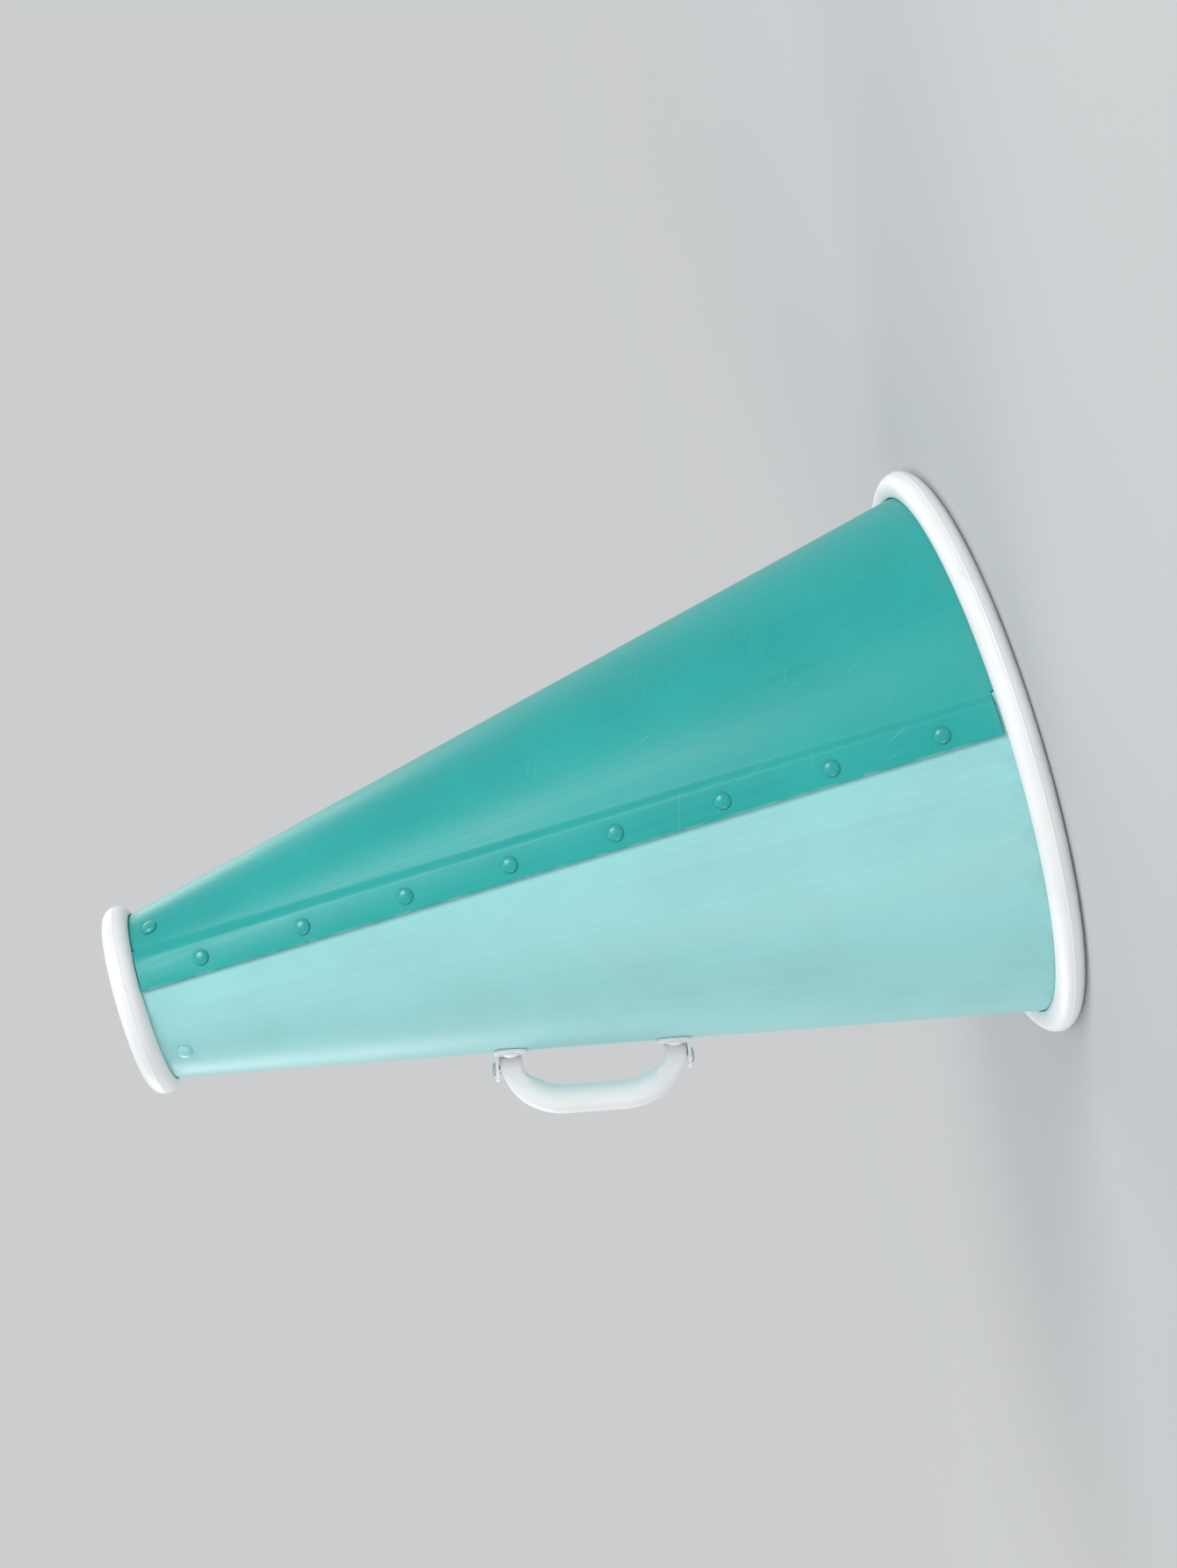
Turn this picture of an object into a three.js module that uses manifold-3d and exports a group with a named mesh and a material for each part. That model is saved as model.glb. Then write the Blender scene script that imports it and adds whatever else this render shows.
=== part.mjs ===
// Cheer megaphone: a riveted two-panel cone with a bell rim, a moulded mouthpiece and a swinging bail handle.
// Millimetres. The axis is Z: z = 0 is the bell's face, which it stands on, and the mouthpiece is at the top.
// The upper panel is on the +X side. The lower panel, with the handle, is on the -X side. The seams are at +-Y.
import * as THREE from 'three';
import { mergeVertices } from 'three/addons/utils/BufferGeometryUtils.js';
import Module from 'manifold-3d';

const wasm = await Module();
wasm.setup();

// Driving dimensions of the cone.
const LENGTH = 508; // along the axis, over the bell rim and the lip
const BELL_RADIUS = 153.3; // of the cone's outer face, at the middle of the bell rim
const MOUTH_RADIUS = 46; // of the cone's outer face, at the middle of the lip
const SHEET = 2; // thickness of the rolled panels

// Lap seams: the upper panel's edge is joggled out over the lower panel's.
const SEAM_X = 4; // plane of the upper panel's free edge
const LAP_WIDTH = 17; // overlap of the two panels
const JOGGLE_WIDTH = 6.5; // length of the step that brings the edge out
const SEAM_RIVETS = 8; // along each seam
const SEAM_RIVET_MARGIN = 30; // from each end of the open seam to its first rivet

// Bell rim and the wire hoop inside it.
const BELL_RIM_WIDTH = 17.4;
const BELL_RIM_HEIGHT = 15.5;
const BELL_RIM_WALL = 2.25; // inside the sheet
const BELL_RIM_FLOOR = 5; // below the sheet
const RIM_LAND = 4.7; // width of the flat ring that it stands on
const HOOP_WIRE = 4.5;

// Mouthpiece: a lip over the sheet's end and a spigot inside the cone.
const LIP_WIDTH = 15.4;
const LIP_HEIGHT = 15.4;
const LIP_WALL = 4.35; // inside the sheet
const LIP_CAP = 7.7; // above the sheet
const SPIGOT_LENGTH = 22.6; // below the lip
const SPIGOT_WALL = 2.5;
const MOUTH_RIVET_DROP = 12; // below the lip
const UPPER_RIVET_SHARE = 0.75; // of the way from the upper panel's middle to its joggle
const LOWER_RIVET_SHARE = 0.5; // of the way from the lower panel's middle to the seam

// Bail handle, measured out from the cone's outer face.
const HANDLE_Z = 263.8; // height of its middle
const GRIP_DIAMETER = 16;
const FINGER_DEPTH = 21.3; // clear space under the grip
const HANDLE_WIDTH = 99; // between the centrelines of its two bends' outer ends
const CORNER_RADIUS = 32.8; // of the centreline
const BARREL_DIAMETER = 14; // of the round ends that the hinge pins go through
const BARREL_LENGTH = 13;
const TANG_HEIGHT = 8.3; // of the flats on each leg, above the hinge axis
const SWING = 0.6; // room for the barrels to turn, over the bracket
const EAR_CLEARANCE = 0.4; // between a barrel's end and its ear

// Brackets and the plates that back them inside the cone.
const BRACKET_SHEET = 2;
const BRACKET_REACH = 44; // round the cone
const BRACKET_TAIL = 3.5; // past the barrel, towards the handle's middle
const BACKING_SHEET = 1.5;
const BACKING_INSET = 2; // of the backing plate's outline, inside the bracket's
const PLATE_CORNER = 5;
const BRACKET_RIVET_SPACING = 32;

// Rivets and pins.
const RIVET_DIAMETER = 4;
const RIVET_HEAD_DIAMETER = 9;
const RIVET_HEAD_HEIGHT = 1.8;
const RIVET_TAIL_DIAMETER = 7;
const RIVET_TAIL_HEIGHT = 1.6;
const PIN_DIAMETER = 5;
const PIN_HEAD_DIAMETER = 9;
const PIN_HEAD_HEIGHT = 1.6;
const PIN_REACH = 10; // into the barrel

// Clearances.
const GAP = 0.3; // between touching pieces
const HOLE_GAP = 0.3; // round a rivet or a pin
const GROOVE_GAP = 0.5; // between a sheet and a rim's groove
const INSIDE_GAP = 0.6; // between the cone's inner face and what lies on it

// What follows from them.
const BELL_Z = BELL_RIM_HEIGHT / 2;
const LIP_Z = LENGTH - LIP_HEIGHT / 2;
const SLOPE = (BELL_RADIUS - MOUTH_RADIUS) / (LIP_Z - BELL_Z);
const TILT = Math.atan(SLOPE); // of the cone's face from its axis
const SHEET_BOTTOM = BELL_RIM_FLOOR + SHEET * Math.sin(TILT) + GROOVE_GAP;
const SHEET_TOP = LENGTH - LIP_CAP;
const LAP_LIFT = SHEET + GAP; // of the upper panel's edge, over the lower panel
const LAP_END_X = SEAM_X + LAP_WIDTH;
const JOGGLE_END_X = LAP_END_X + JOGGLE_WIDTH;
const LAP_BOTTOM = BELL_RIM_HEIGHT + 2 * GAP;
const LAP_TOP = LENGTH - LIP_HEIGHT - 2 * GAP;
const GRIP_HEIGHT = FINGER_DEPTH + GRIP_DIAMETER / 2; // of the grip's centreline
const HINGE_HEIGHT = GAP + BRACKET_SHEET + SWING + BARREL_DIAMETER / 2;
const BEND_X = HANDLE_WIDTH / 2 - CORNER_RADIUS; // of a bend's centre
const BEND_Y = GRIP_HEIGHT - CORNER_RADIUS;
const LEG_X = BEND_X + Math.sqrt(CORNER_RADIUS ** 2 - Math.max(HINGE_HEIGHT - BEND_Y, 0) ** 2);
const BARREL_END = LEG_X + BARREL_LENGTH / 2;
const EAR_INNER = BARREL_END + EAR_CLEARANCE;
const EAR_OUTER = EAR_INNER + BRACKET_SHEET;
const BRACKET_INNER = LEG_X - BARREL_LENGTH / 2 - BRACKET_TAIL;
const BACKING_TOP = -SHEET - INSIDE_GAP;
const BACKING_BOTTOM = BACKING_TOP - BACKING_SHEET;
const SPIGOT_FACE = -SHEET - GAP;

// Fineness of the curved faces.
const PANEL_STEP = Math.PI / 24; // angle between a panel's bends
const LAP_COLUMNS = 4;
const LAP_ROWS = 12;
const STRIP_OVERLAP = 1; // of a lap strip onto its panel, where they join
const BUTT_MARGIN = 0.05; // radians rolled past the lower panel's edges before they are trimmed
const RING_SEGMENTS = 48;
const MOUTH_SEGMENTS = 36;
const HOOP_SIDES = 6;
const PLATE_SEGMENTS = 72;
const HOLE_SEGMENTS = 8;
const RIVET_SEGMENTS = 8;
const BARREL_SEGMENTS = 16;
const BEAD_STEPS = 12;
const GRIP_STEPS = 22;

const plastic = (color) => new THREE.MeshStandardMaterial({ color, roughness: 0.45, metalness: 0 });
const teal = plastic('#3fb2ad');
const aqua = plastic('#9fd9dc');
const white = plastic('#f7f8f8');
const paint = new THREE.MeshStandardMaterial({ color: '#f4f5f5', roughness: 0.35, metalness: 0.2 });
const steel = new THREE.MeshStandardMaterial({ color: '#a8adb0', roughness: 0.4, metalness: 1 });

const megaphone = new THREE.Group();

function addPart(name, geometry, material, parent = megaphone) {
  const mesh = new THREE.Mesh(geometry, material);
  mesh.name = name;
  parent.add(mesh);
  return mesh;
}

// A closed geometry as a solid that can be cut and joined.
function solid(geometry) {
  const bare = new THREE.BufferGeometry();
  bare.setAttribute('position', geometry.getAttribute('position'));
  bare.setIndex(geometry.index);
  const merged = mergeVertices(bare, 1e-4);
  return new wasm.Manifold(new wasm.Mesh({
    numProp: 3,
    vertProperties: merged.getAttribute('position').array,
    triVerts: new Uint32Array(merged.index.array),
  }));
}

// A solid's surface as a geometry with flat faces.
function surface(shape) {
  const mesh = shape.getMesh();
  const geometry = new THREE.BufferGeometry();
  geometry.setAttribute('position', new THREE.BufferAttribute(mesh.vertProperties, 3));
  geometry.setIndex(new THREE.BufferAttribute(mesh.triVerts, 1));
  const faceted = geometry.toNonIndexed();
  faceted.computeVertexNormals();
  return faceted;
}

// A base with pieces joined on and then others cut away.
function shaped({ base, joined = [], cut = [] }) {
  let result = solid(base);
  for (const piece of joined) result = result.add(solid(piece));
  for (const piece of cut) result = result.subtract(solid(piece));
  return surface(result);
}

// The cone's surface, by height, angle about the axis from +X, and distance out from its outer face.
const coneRadius = (z) => BELL_RADIUS - (z - BELL_Z) * SLOPE;

function conePoint(z, angle, out = 0) {
  const radius = coneRadius(z) + out * Math.cos(TILT);
  const height = z + out * Math.sin(TILT);
  return new THREE.Vector3(radius * Math.cos(angle), radius * Math.sin(angle), height);
}

// The angle from +X at which the plane of an x meets a cone lifted off the outer face.
function angleAtPlane(x, z, out = 0) {
  return Math.acos(x / (coneRadius(z) + out * Math.cos(TILT)));
}

// A frame on the cone's outer face: X along it to the mouth, Y out of it and Z round it.
function coneFrame(z, angle) {
  const round = new THREE.Vector3(-Math.sin(angle), Math.cos(angle), 0);
  const out = conePoint(z, angle, 1).sub(conePoint(z, angle));
  const along = new THREE.Vector3().crossVectors(out, round);
  return new THREE.Matrix4().makeBasis(along, out, round).setPosition(conePoint(z, angle));
}

// A ring about the axis from a closed section, given as [radius, height] points.
function ring(section, segments) {
  const points = [...section, section[0]].map(([radius, z]) => new THREE.Vector2(radius, z));
  return new THREE.LatheGeometry(points, segments).rotateX(Math.PI / 2);
}

// A [radius, height] point of a ring's section that lies on or off the cone's face.
function facePoint(z, out) {
  const point = conePoint(z, 0, out);
  return [point.x, point.z];
}

// A ring that follows the cone's face between two heights and two distances out from it.
function coneShell(bottom, top, inner, outer, segments) {
  const section = [
    facePoint(bottom, inner), facePoint(bottom, outer), facePoint(top, outer), facePoint(top, inner),
  ];
  return ring(section, segments);
}

// A block between two corners.
function block(low, high) {
  const size = high.map((value, i) => value - low[i]);
  const middle = high.map((value, i) => (value + low[i]) / 2);
  return new THREE.BoxGeometry(...size).translate(...middle);
}

// A cylinder along Y, in a local frame.
function rod(radius, bottom, top, segments = HOLE_SEGMENTS) {
  const height = top - bottom;
  return new THREE.CylinderGeometry(radius, radius, height, segments).translate(0, bottom + height / 2, 0);
}

// Holes for rivets through all that they hold, one in each frame.
function rivetHoles(frames) {
  const radius = RIVET_DIAMETER / 2 + HOLE_GAP;
  return frames.map((frame) => rod(radius, -HOLE_REACH, HOLE_REACH).applyMatrix4(frame));
}

// A headed pin along Y. The head's underside is at top and the tail's upper side at bottom.
function headedPin({ bottom, top, radius, headRadius, headHeight, tailRadius, tailHeight }) {
  const points = [
    [0, bottom - tailHeight], [tailRadius * 0.8, bottom - tailHeight], [tailRadius, bottom],
    [radius, bottom], [radius, top],
    [headRadius, top], [headRadius * 0.75, top + headHeight * 0.7], [0, top + headHeight],
  ].map(([x, y]) => new THREE.Vector2(x, y));
  return new THREE.LatheGeometry(points, RIVET_SEGMENTS);
}

// A rivet in a frame on the cone, clamping everything between two distances out from the cone's face.
function addRivet(name, frame, bottom, top, material) {
  const geometry = headedPin({
    bottom: bottom - INSIDE_GAP,
    top: top + GAP,
    radius: RIVET_DIAMETER / 2,
    headRadius: RIVET_HEAD_DIAMETER / 2,
    headHeight: RIVET_HEAD_HEIGHT,
    tailRadius: RIVET_TAIL_DIAMETER / 2,
    tailHeight: RIVET_TAIL_HEIGHT,
  });
  addPart(name, geometry, material).applyMatrix4(frame);
}

// The height of a blank's line, by its share of the way up. The lines are closer where the cone is narrower.
function rowHeight(share) {
  const radius = coneRadius(SHEET_BOTTOM) ** (1 - share) * coneRadius(SHEET_TOP) ** share;
  return BELL_Z + (BELL_RADIUS - radius) / SLOPE;
}

// A blank rolled onto the cone. Each column gives its angle from +X at a height, and its lift off the cone.
function rolled(columns, rows) {
  const last = columns.length - 1;
  const blank = new THREE.BoxGeometry(last, 1, 1, last, rows, 1);
  const position = blank.getAttribute('position');
  for (let i = 0; i < position.count; i++) {
    const column = columns[Math.round(position.getX(i) + last / 2)];
    const z = rowHeight(position.getY(i) + 0.5);
    const out = column.lift + (position.getZ(i) - 0.5) * SHEET;
    position.setXYZ(i, ...conePoint(z, column.angle(z), out));
  }
  return blank;
}

// The plain part of a panel, to the same angle on both sides of its middle.
function plainPanel(middle, half) {
  const count = Math.ceil((2 * half) / PANEL_STEP);
  const columns = Array.from({ length: count + 1 }, (_, i) => {
    const angle = middle + half * ((2 * i) / count - 1);
    return { angle: () => angle, lift: 0 };
  });
  return rolled(columns, 1);
}

// The upper panel's edge on one side: the lap that lies over the lower panel, and the joggle down to the cone.
function lapStrip(side) {
  const lap = Array.from({ length: LAP_COLUMNS + 1 }, (_, i) => (
    { x: SEAM_X + (LAP_WIDTH * i) / LAP_COLUMNS, lift: LAP_LIFT }
  ));
  const joggle = [
    { x: LAP_END_X + JOGGLE_WIDTH / 2, lift: LAP_LIFT / 2 },
    { x: JOGGLE_END_X, lift: 0 },
    { x: JOGGLE_END_X + STRIP_OVERLAP, lift: 0 },
  ];
  const lines = [...lap, ...joggle].map(({ x, lift }) => (
    { angle: (z) => side * angleAtPlane(x, z, lift), lift }
  ));
  return rolled(side > 0 ? lines.reverse() : lines, LAP_ROWS);
}

// An oval rim section, with a flat foot as wide as its land.
function bead({ inner, width, foot, height, land = 0 }) {
  const across = width / 2;
  const flat = Math.asin(land / width);
  const up = height / (1 + Math.cos(flat));
  const points = Array.from({ length: BEAD_STEPS + 1 }, (_, i) => {
    const angle = flat - Math.PI / 2 + (2 * (Math.PI - flat) * i) / BEAD_STEPS;
    return [inner + across + across * Math.cos(angle), foot + height - up + up * Math.sin(angle)];
  });
  return land > 0 ? points : points.slice(1);
}

const CUT_REACH = 2 * (LENGTH + BELL_RADIUS); // past the whole object

const seamFrames = [-1, 1].map((side) => Array.from({ length: SEAM_RIVETS }, (_, i) => {
  const first = LAP_BOTTOM + SEAM_RIVET_MARGIN;
  const last = LENGTH - LIP_HEIGHT - SPIGOT_LENGTH - SEAM_RIVET_MARGIN / 2;
  const z = first + ((last - first) * i) / (SEAM_RIVETS - 1);
  return coneFrame(z, side * angleAtPlane(SEAM_X + LAP_WIDTH / 2, z));
}));

const mouthRivetZ = LENGTH - LIP_HEIGHT - MOUTH_RIVET_DROP;
const upperTurn = UPPER_RIVET_SHARE * angleAtPlane(JOGGLE_END_X, mouthRivetZ);
const lowerTurn = LOWER_RIVET_SHARE * (Math.PI - angleAtPlane(SEAM_X, mouthRivetZ));
const mouthFrames = [upperTurn, Math.PI - lowerTurn, Math.PI + lowerTurn, -upperTurn]
  .map((angle) => coneFrame(mouthRivetZ, angle));

// The handle's own frame, on the cone's face under its middle.
const handleFrame = coneFrame(HANDLE_Z, Math.PI);

const bracketFrames = [-1, 1].map((end) => [-1, 1].map((side) => {
  const z = HANDLE_Z + (end * (BRACKET_INNER + EAR_OUTER) * Math.cos(TILT)) / 2;
  const turn = BRACKET_RIVET_SPACING / 2 / coneRadius(z);
  return coneFrame(z, Math.PI + side * turn);
}));

const HOLE_REACH = 3 * (SHEET + SPIGOT_WALL + BACKING_SHEET); // of a rivet's hole, past all that it holds
const panelHoles = rivetHoles([...seamFrames.flat(), ...mouthFrames, ...bracketFrames.flat()]);

function addPanels() {
  // Everything on one side of the plane of an x, between two heights.
  const before = (x, bottom, top) => block([-CUT_REACH, -CUT_REACH, bottom], [x, CUT_REACH, top]);
  const beyond = (x, bottom, top) => block([x, -CUT_REACH, bottom], [CUT_REACH, CUT_REACH, top]);

  const plain = shaped({
    base: plainPanel(0, Math.PI / 2),
    cut: [before(JOGGLE_END_X, -CUT_REACH, CUT_REACH)],
  });
  const rimZones = [before(JOGGLE_END_X, -CUT_REACH, LAP_BOTTOM), before(JOGGLE_END_X, LAP_TOP, CUT_REACH)];
  const upper = shaped({ base: plain, joined: [lapStrip(-1), lapStrip(1)], cut: [...rimZones, ...panelHoles] });
  addPart('upper_panel', upper, teal);

  // The lower panel is full width only inside the rims, where the two panels butt together.
  const buttX = JOGGLE_END_X - GROOVE_GAP;
  const half = Math.PI - angleAtPlane(buttX, SHEET_TOP, -SHEET);
  const trims = [
    beyond(buttX, -CUT_REACH, CUT_REACH),
    beyond(LAP_END_X - GROOVE_GAP, LAP_BOTTOM - GAP, LAP_TOP + GAP),
  ];
  const base = plainPanel(Math.PI, half + BUTT_MARGIN);
  addPart('lower_panel', shaped({ base, cut: [...trims, ...panelHoles] }), aqua);
}

function addBellRim() {
  const inner = coneRadius(BELL_Z) - SHEET / Math.cos(TILT) - GROOVE_GAP - BELL_RIM_WALL;
  const section = bead({ inner, width: BELL_RIM_WIDTH, foot: 0, height: BELL_RIM_HEIGHT, land: RIM_LAND });
  const groove = coneShell(BELL_RIM_FLOOR, 2 * BELL_RIM_HEIGHT, -SHEET - GROOVE_GAP, GROOVE_GAP, RING_SEGMENTS);
  const hoopRadius = inner + BELL_RIM_WIDTH / 2;
  const pocket = ring([
    [coneRadius(BELL_Z), BELL_RIM_FLOOR],
    [hoopRadius + HOOP_WIRE / 2 + GROOVE_GAP, BELL_RIM_FLOOR],
    [hoopRadius + HOOP_WIRE / 2 + GROOVE_GAP, BELL_RIM_FLOOR + HOOP_WIRE + 2 * GAP],
    [coneRadius(BELL_Z), BELL_RIM_FLOOR + HOOP_WIRE + 2 * GAP],
  ], RING_SEGMENTS);
  const rim = shaped({ base: ring(section, RING_SEGMENTS), cut: [groove, pocket] });
  addPart('bell_rim', rim, white);

  const hoopZ = BELL_RIM_FLOOR + GAP + HOOP_WIRE / 2;
  const wire = Array.from({ length: HOOP_SIDES }, (_, i) => {
    const angle = (i * 2 * Math.PI) / HOOP_SIDES;
    return [hoopRadius + (HOOP_WIRE / 2) * Math.cos(angle), hoopZ + (HOOP_WIRE / 2) * Math.sin(angle)];
  });
  addPart('bell_hoop', ring(wire, RING_SEGMENTS), steel);
}

function addMouthpiece() {
  const inner = coneRadius(LIP_Z) - SHEET / Math.cos(TILT) - GAP - LIP_WALL;
  const lip = bead({ inner, width: LIP_WIDTH, foot: LENGTH - LIP_HEIGHT, height: LIP_HEIGHT });
  const foot = LENGTH - LIP_HEIGHT - SPIGOT_LENGTH;
  const spigot = coneShell(foot, LIP_Z, SPIGOT_FACE - SPIGOT_WALL, SPIGOT_FACE, MOUTH_SEGMENTS);
  const groove = coneShell(foot, SHEET_TOP + GROOVE_GAP, SPIGOT_FACE, GROOVE_GAP, MOUTH_SEGMENTS);
  const cut = [groove, ...rivetHoles(mouthFrames)];
  const geometry = shaped({ base: ring(lip, MOUTH_SEGMENTS), joined: [spigot], cut });
  addPart('mouthpiece', geometry, white);
}

function addSeamRivets() {
  ['right', 'left'].forEach((side, s) => seamFrames[s].forEach((frame, i) => {
    addRivet(`seam_rivet_${side}_${i + 1}`, frame, -SHEET, LAP_LIFT, teal);
  }));
}

function addMouthRivets() {
  mouthFrames.forEach((frame, i) => {
    const onUpperPanel = new THREE.Vector3().setFromMatrixPosition(frame).x > 0;
    addRivet(`mouthpiece_rivet_${i + 1}`, frame, SPIGOT_FACE - SPIGOT_WALL, 0, onUpperPanel ? teal : aqua);
  });
}

// The centreline of the handle, in its own frame: a leg, a bend, the grip, a bend and a leg.
class Bail extends THREE.Curve {
  constructor() {
    super();
    this.route = new THREE.Path();
    const start = Math.min(BEND_Y, HINGE_HEIGHT) - BARREL_DIAMETER / 2;
    const rise = Math.max(HINGE_HEIGHT - BARREL_DIAMETER / 2 - BEND_Y, 0);
    const from = Math.asin(rise / CORNER_RADIUS);
    if (rise === 0) this.route.moveTo(-BEND_X - CORNER_RADIUS, start);
    this.route.absarc(-BEND_X, BEND_Y, CORNER_RADIUS, Math.PI - from, Math.PI / 2, true);
    this.route.absarc(BEND_X, BEND_Y, CORNER_RADIUS, Math.PI / 2, from, true);
    if (rise === 0) this.route.lineTo(BEND_X + CORNER_RADIUS, start);
  }

  getPoint(t) {
    const point = this.route.getPointAt(t);
    return new THREE.Vector3(point.x, point.y, 0);
  }
}

// A cylinder along X, in the handle's frame, about the hinge axis.
function hingeRod(radius, from, to, segments) {
  return rod(radius, from, to, segments).rotateZ(-Math.PI / 2).translate(0, HINGE_HEIGHT, 0);
}

function addHandle(parent) {
  const circle = new THREE.Shape().absarc(0, 0, GRIP_DIAMETER / 2, 0, 2 * Math.PI);
  const tube = new THREE.ExtrudeGeometry(circle, {
    curveSegments: 7, steps: GRIP_STEPS, bevelEnabled: false, extrudePath: new Bail(),
  });
  const far = HANDLE_WIDTH + GRIP_DIAMETER;
  const flatTop = HINGE_HEIGHT + TANG_HEIGHT;
  const trims = [
    block([-far, -far, -far], [far, HINGE_HEIGHT, far]),
    block([-far, -far, BARREL_DIAMETER / 2], [far, flatTop, far]),
    block([-far, -far, -far], [far, flatTop, -BARREL_DIAMETER / 2]),
    block([BARREL_END, -far, -far], [far, far, far]),
    block([-far, -far, -far], [-BARREL_END, far, far]),
  ];
  const legs = shaped({ base: tube, cut: trims });
  const barrels = [[LEG_X - BARREL_LENGTH / 2, BARREL_END], [-BARREL_END, BARREL_LENGTH / 2 - LEG_X]]
    .map(([from, to]) => hingeRod(BARREL_DIAMETER / 2, from, to, BARREL_SEGMENTS));
  const pinEnd = BARREL_END - PIN_REACH - GAP;
  const holes = [[pinEnd, far], [-far, -pinEnd]]
    .map(([from, to]) => hingeRod(PIN_DIAMETER / 2 + HOLE_GAP, from, to));
  addPart('handle', shaped({ base: legs, joined: barrels, cut: holes }), white, parent);
}

// A rounded plate that lies on the cone, cut from a shell of it, in the handle's frame.
function curvedPlate({ from, to, reach, inner, outer, corner }) {
  const shape = new THREE.Shape();
  shape.moveTo(from + corner, -reach / 2);
  shape.absarc(to - corner, -reach / 2 + corner, corner, -Math.PI / 2, 0);
  shape.absarc(to - corner, reach / 2 - corner, corner, 0, Math.PI / 2);
  shape.absarc(from + corner, reach / 2 - corner, corner, Math.PI / 2, Math.PI);
  shape.absarc(from + corner, -reach / 2 + corner, corner, Math.PI, Math.PI * 1.5);
  const prism = new THREE.ExtrudeGeometry(shape, { depth: reach, curveSegments: 4, bevelEnabled: false })
    .rotateX(-Math.PI / 2).translate(0, -reach / 2, 0);
  const shell = coneShell(HANDLE_Z - HANDLE_WIDTH, HANDLE_Z + HANDLE_WIDTH, inner, outer, PLATE_SEGMENTS)
    .applyMatrix4(handleFrame.clone().invert());
  return surface(solid(shell).intersect(solid(prism)));
}

// The upright ear at a bracket's outer end: a strip with a round top about the hinge axis.
function ear(from) {
  const radius = BARREL_DIAMETER / 2;
  const shape = new THREE.Shape();
  shape.moveTo(-radius, GAP + BRACKET_SHEET / 2);
  shape.lineTo(radius, GAP + BRACKET_SHEET / 2);
  shape.absarc(0, HINGE_HEIGHT, radius, 0, Math.PI);
  return new THREE.ExtrudeGeometry(shape, { depth: BRACKET_SHEET, curveSegments: 6, bevelEnabled: false })
    .rotateY(Math.PI / 2).translate(from, 0, 0);
}

function addBracket(name, end, frames, parent) {
  const [from, to] = [end * BRACKET_INNER, end * EAR_OUTER].sort((a, b) => a - b);
  const toHandle = handleFrame.clone().invert();
  const holes = rivetHoles(frames).map((hole) => hole.applyMatrix4(toHandle));
  const base = curvedPlate({
    from, to, reach: BRACKET_REACH, inner: GAP, outer: GAP + BRACKET_SHEET, corner: PLATE_CORNER,
  });
  const upright = ear(end > 0 ? EAR_INNER : -EAR_OUTER);
  const pinHole = hingeRod(PIN_DIAMETER / 2 + HOLE_GAP, ...[0, end * HANDLE_WIDTH].sort((a, b) => a - b));
  const bracket = shaped({ base, joined: [upright], cut: [...holes, pinHole] });
  addPart(`handle_bracket_${name}`, bracket, paint, parent);

  const backing = curvedPlate({
    from: from + BACKING_INSET,
    to: to - BACKING_INSET,
    reach: BRACKET_REACH - 2 * BACKING_INSET,
    inner: BACKING_BOTTOM,
    outer: BACKING_TOP,
    corner: PLATE_CORNER,
  });
  addPart(`backing_plate_${name}`, shaped({ base: backing, cut: holes }), steel, parent);

  const pin = headedPin({
    bottom: BARREL_END - PIN_REACH,
    top: EAR_OUTER + GAP,
    radius: PIN_DIAMETER / 2,
    headRadius: PIN_HEAD_DIAMETER / 2,
    headHeight: PIN_HEAD_HEIGHT,
    tailRadius: PIN_DIAMETER / 2,
    tailHeight: 0,
  }).rotateZ((-end * Math.PI) / 2).translate(0, HINGE_HEIGHT, 0);
  addPart(`hinge_pin_${name}`, pin, steel, parent);

  ['left', 'right'].forEach((side, i) => {
    addRivet(`bracket_rivet_${name}_${side}`, frames[i], BACKING_BOTTOM, GAP + BRACKET_SHEET, paint);
  });
}

addPanels();
addBellRim();
addMouthpiece();
addSeamRivets();
addMouthRivets();

const handleGroup = new THREE.Group();
handleGroup.applyMatrix4(handleFrame);
megaphone.add(handleGroup);
addHandle(handleGroup);
addBracket('rear', -1, bracketFrames[0], handleGroup);
addBracket('front', 1, bracketFrames[1], handleGroup);

export default megaphone;
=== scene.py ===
import math
import random

import bmesh
import bpy
from mathutils import Matrix, Vector, geometry, noise


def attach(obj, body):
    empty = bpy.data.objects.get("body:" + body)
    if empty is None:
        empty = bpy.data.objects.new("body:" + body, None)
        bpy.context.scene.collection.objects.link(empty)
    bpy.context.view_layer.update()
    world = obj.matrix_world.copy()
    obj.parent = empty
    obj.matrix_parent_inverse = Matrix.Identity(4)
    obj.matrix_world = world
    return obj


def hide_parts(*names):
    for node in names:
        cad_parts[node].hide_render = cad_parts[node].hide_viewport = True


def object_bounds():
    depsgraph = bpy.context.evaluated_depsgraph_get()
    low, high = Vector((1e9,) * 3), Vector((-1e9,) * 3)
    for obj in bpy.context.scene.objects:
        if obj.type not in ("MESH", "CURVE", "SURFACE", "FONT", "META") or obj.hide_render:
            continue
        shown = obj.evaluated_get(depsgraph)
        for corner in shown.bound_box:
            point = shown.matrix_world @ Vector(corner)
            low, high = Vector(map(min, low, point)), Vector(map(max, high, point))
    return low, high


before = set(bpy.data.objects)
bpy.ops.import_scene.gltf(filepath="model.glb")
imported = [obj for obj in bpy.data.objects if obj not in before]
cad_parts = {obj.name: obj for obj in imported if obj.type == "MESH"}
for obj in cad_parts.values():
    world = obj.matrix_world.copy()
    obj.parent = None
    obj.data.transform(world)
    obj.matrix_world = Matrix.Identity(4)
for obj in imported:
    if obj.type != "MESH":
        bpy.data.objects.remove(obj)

# Cheer megaphone. It stands on its bell: the axis is Z, the teal upper panel is on the +X side, the aqua
# lower panel and the handle are on the -X side, and the two lap seams are at -Y, in front, and +Y. Lengths in
# the shapes' code are in millimetres, and MM turns them into metres.
MM = 0.001
cad_low, cad_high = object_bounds()

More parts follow.
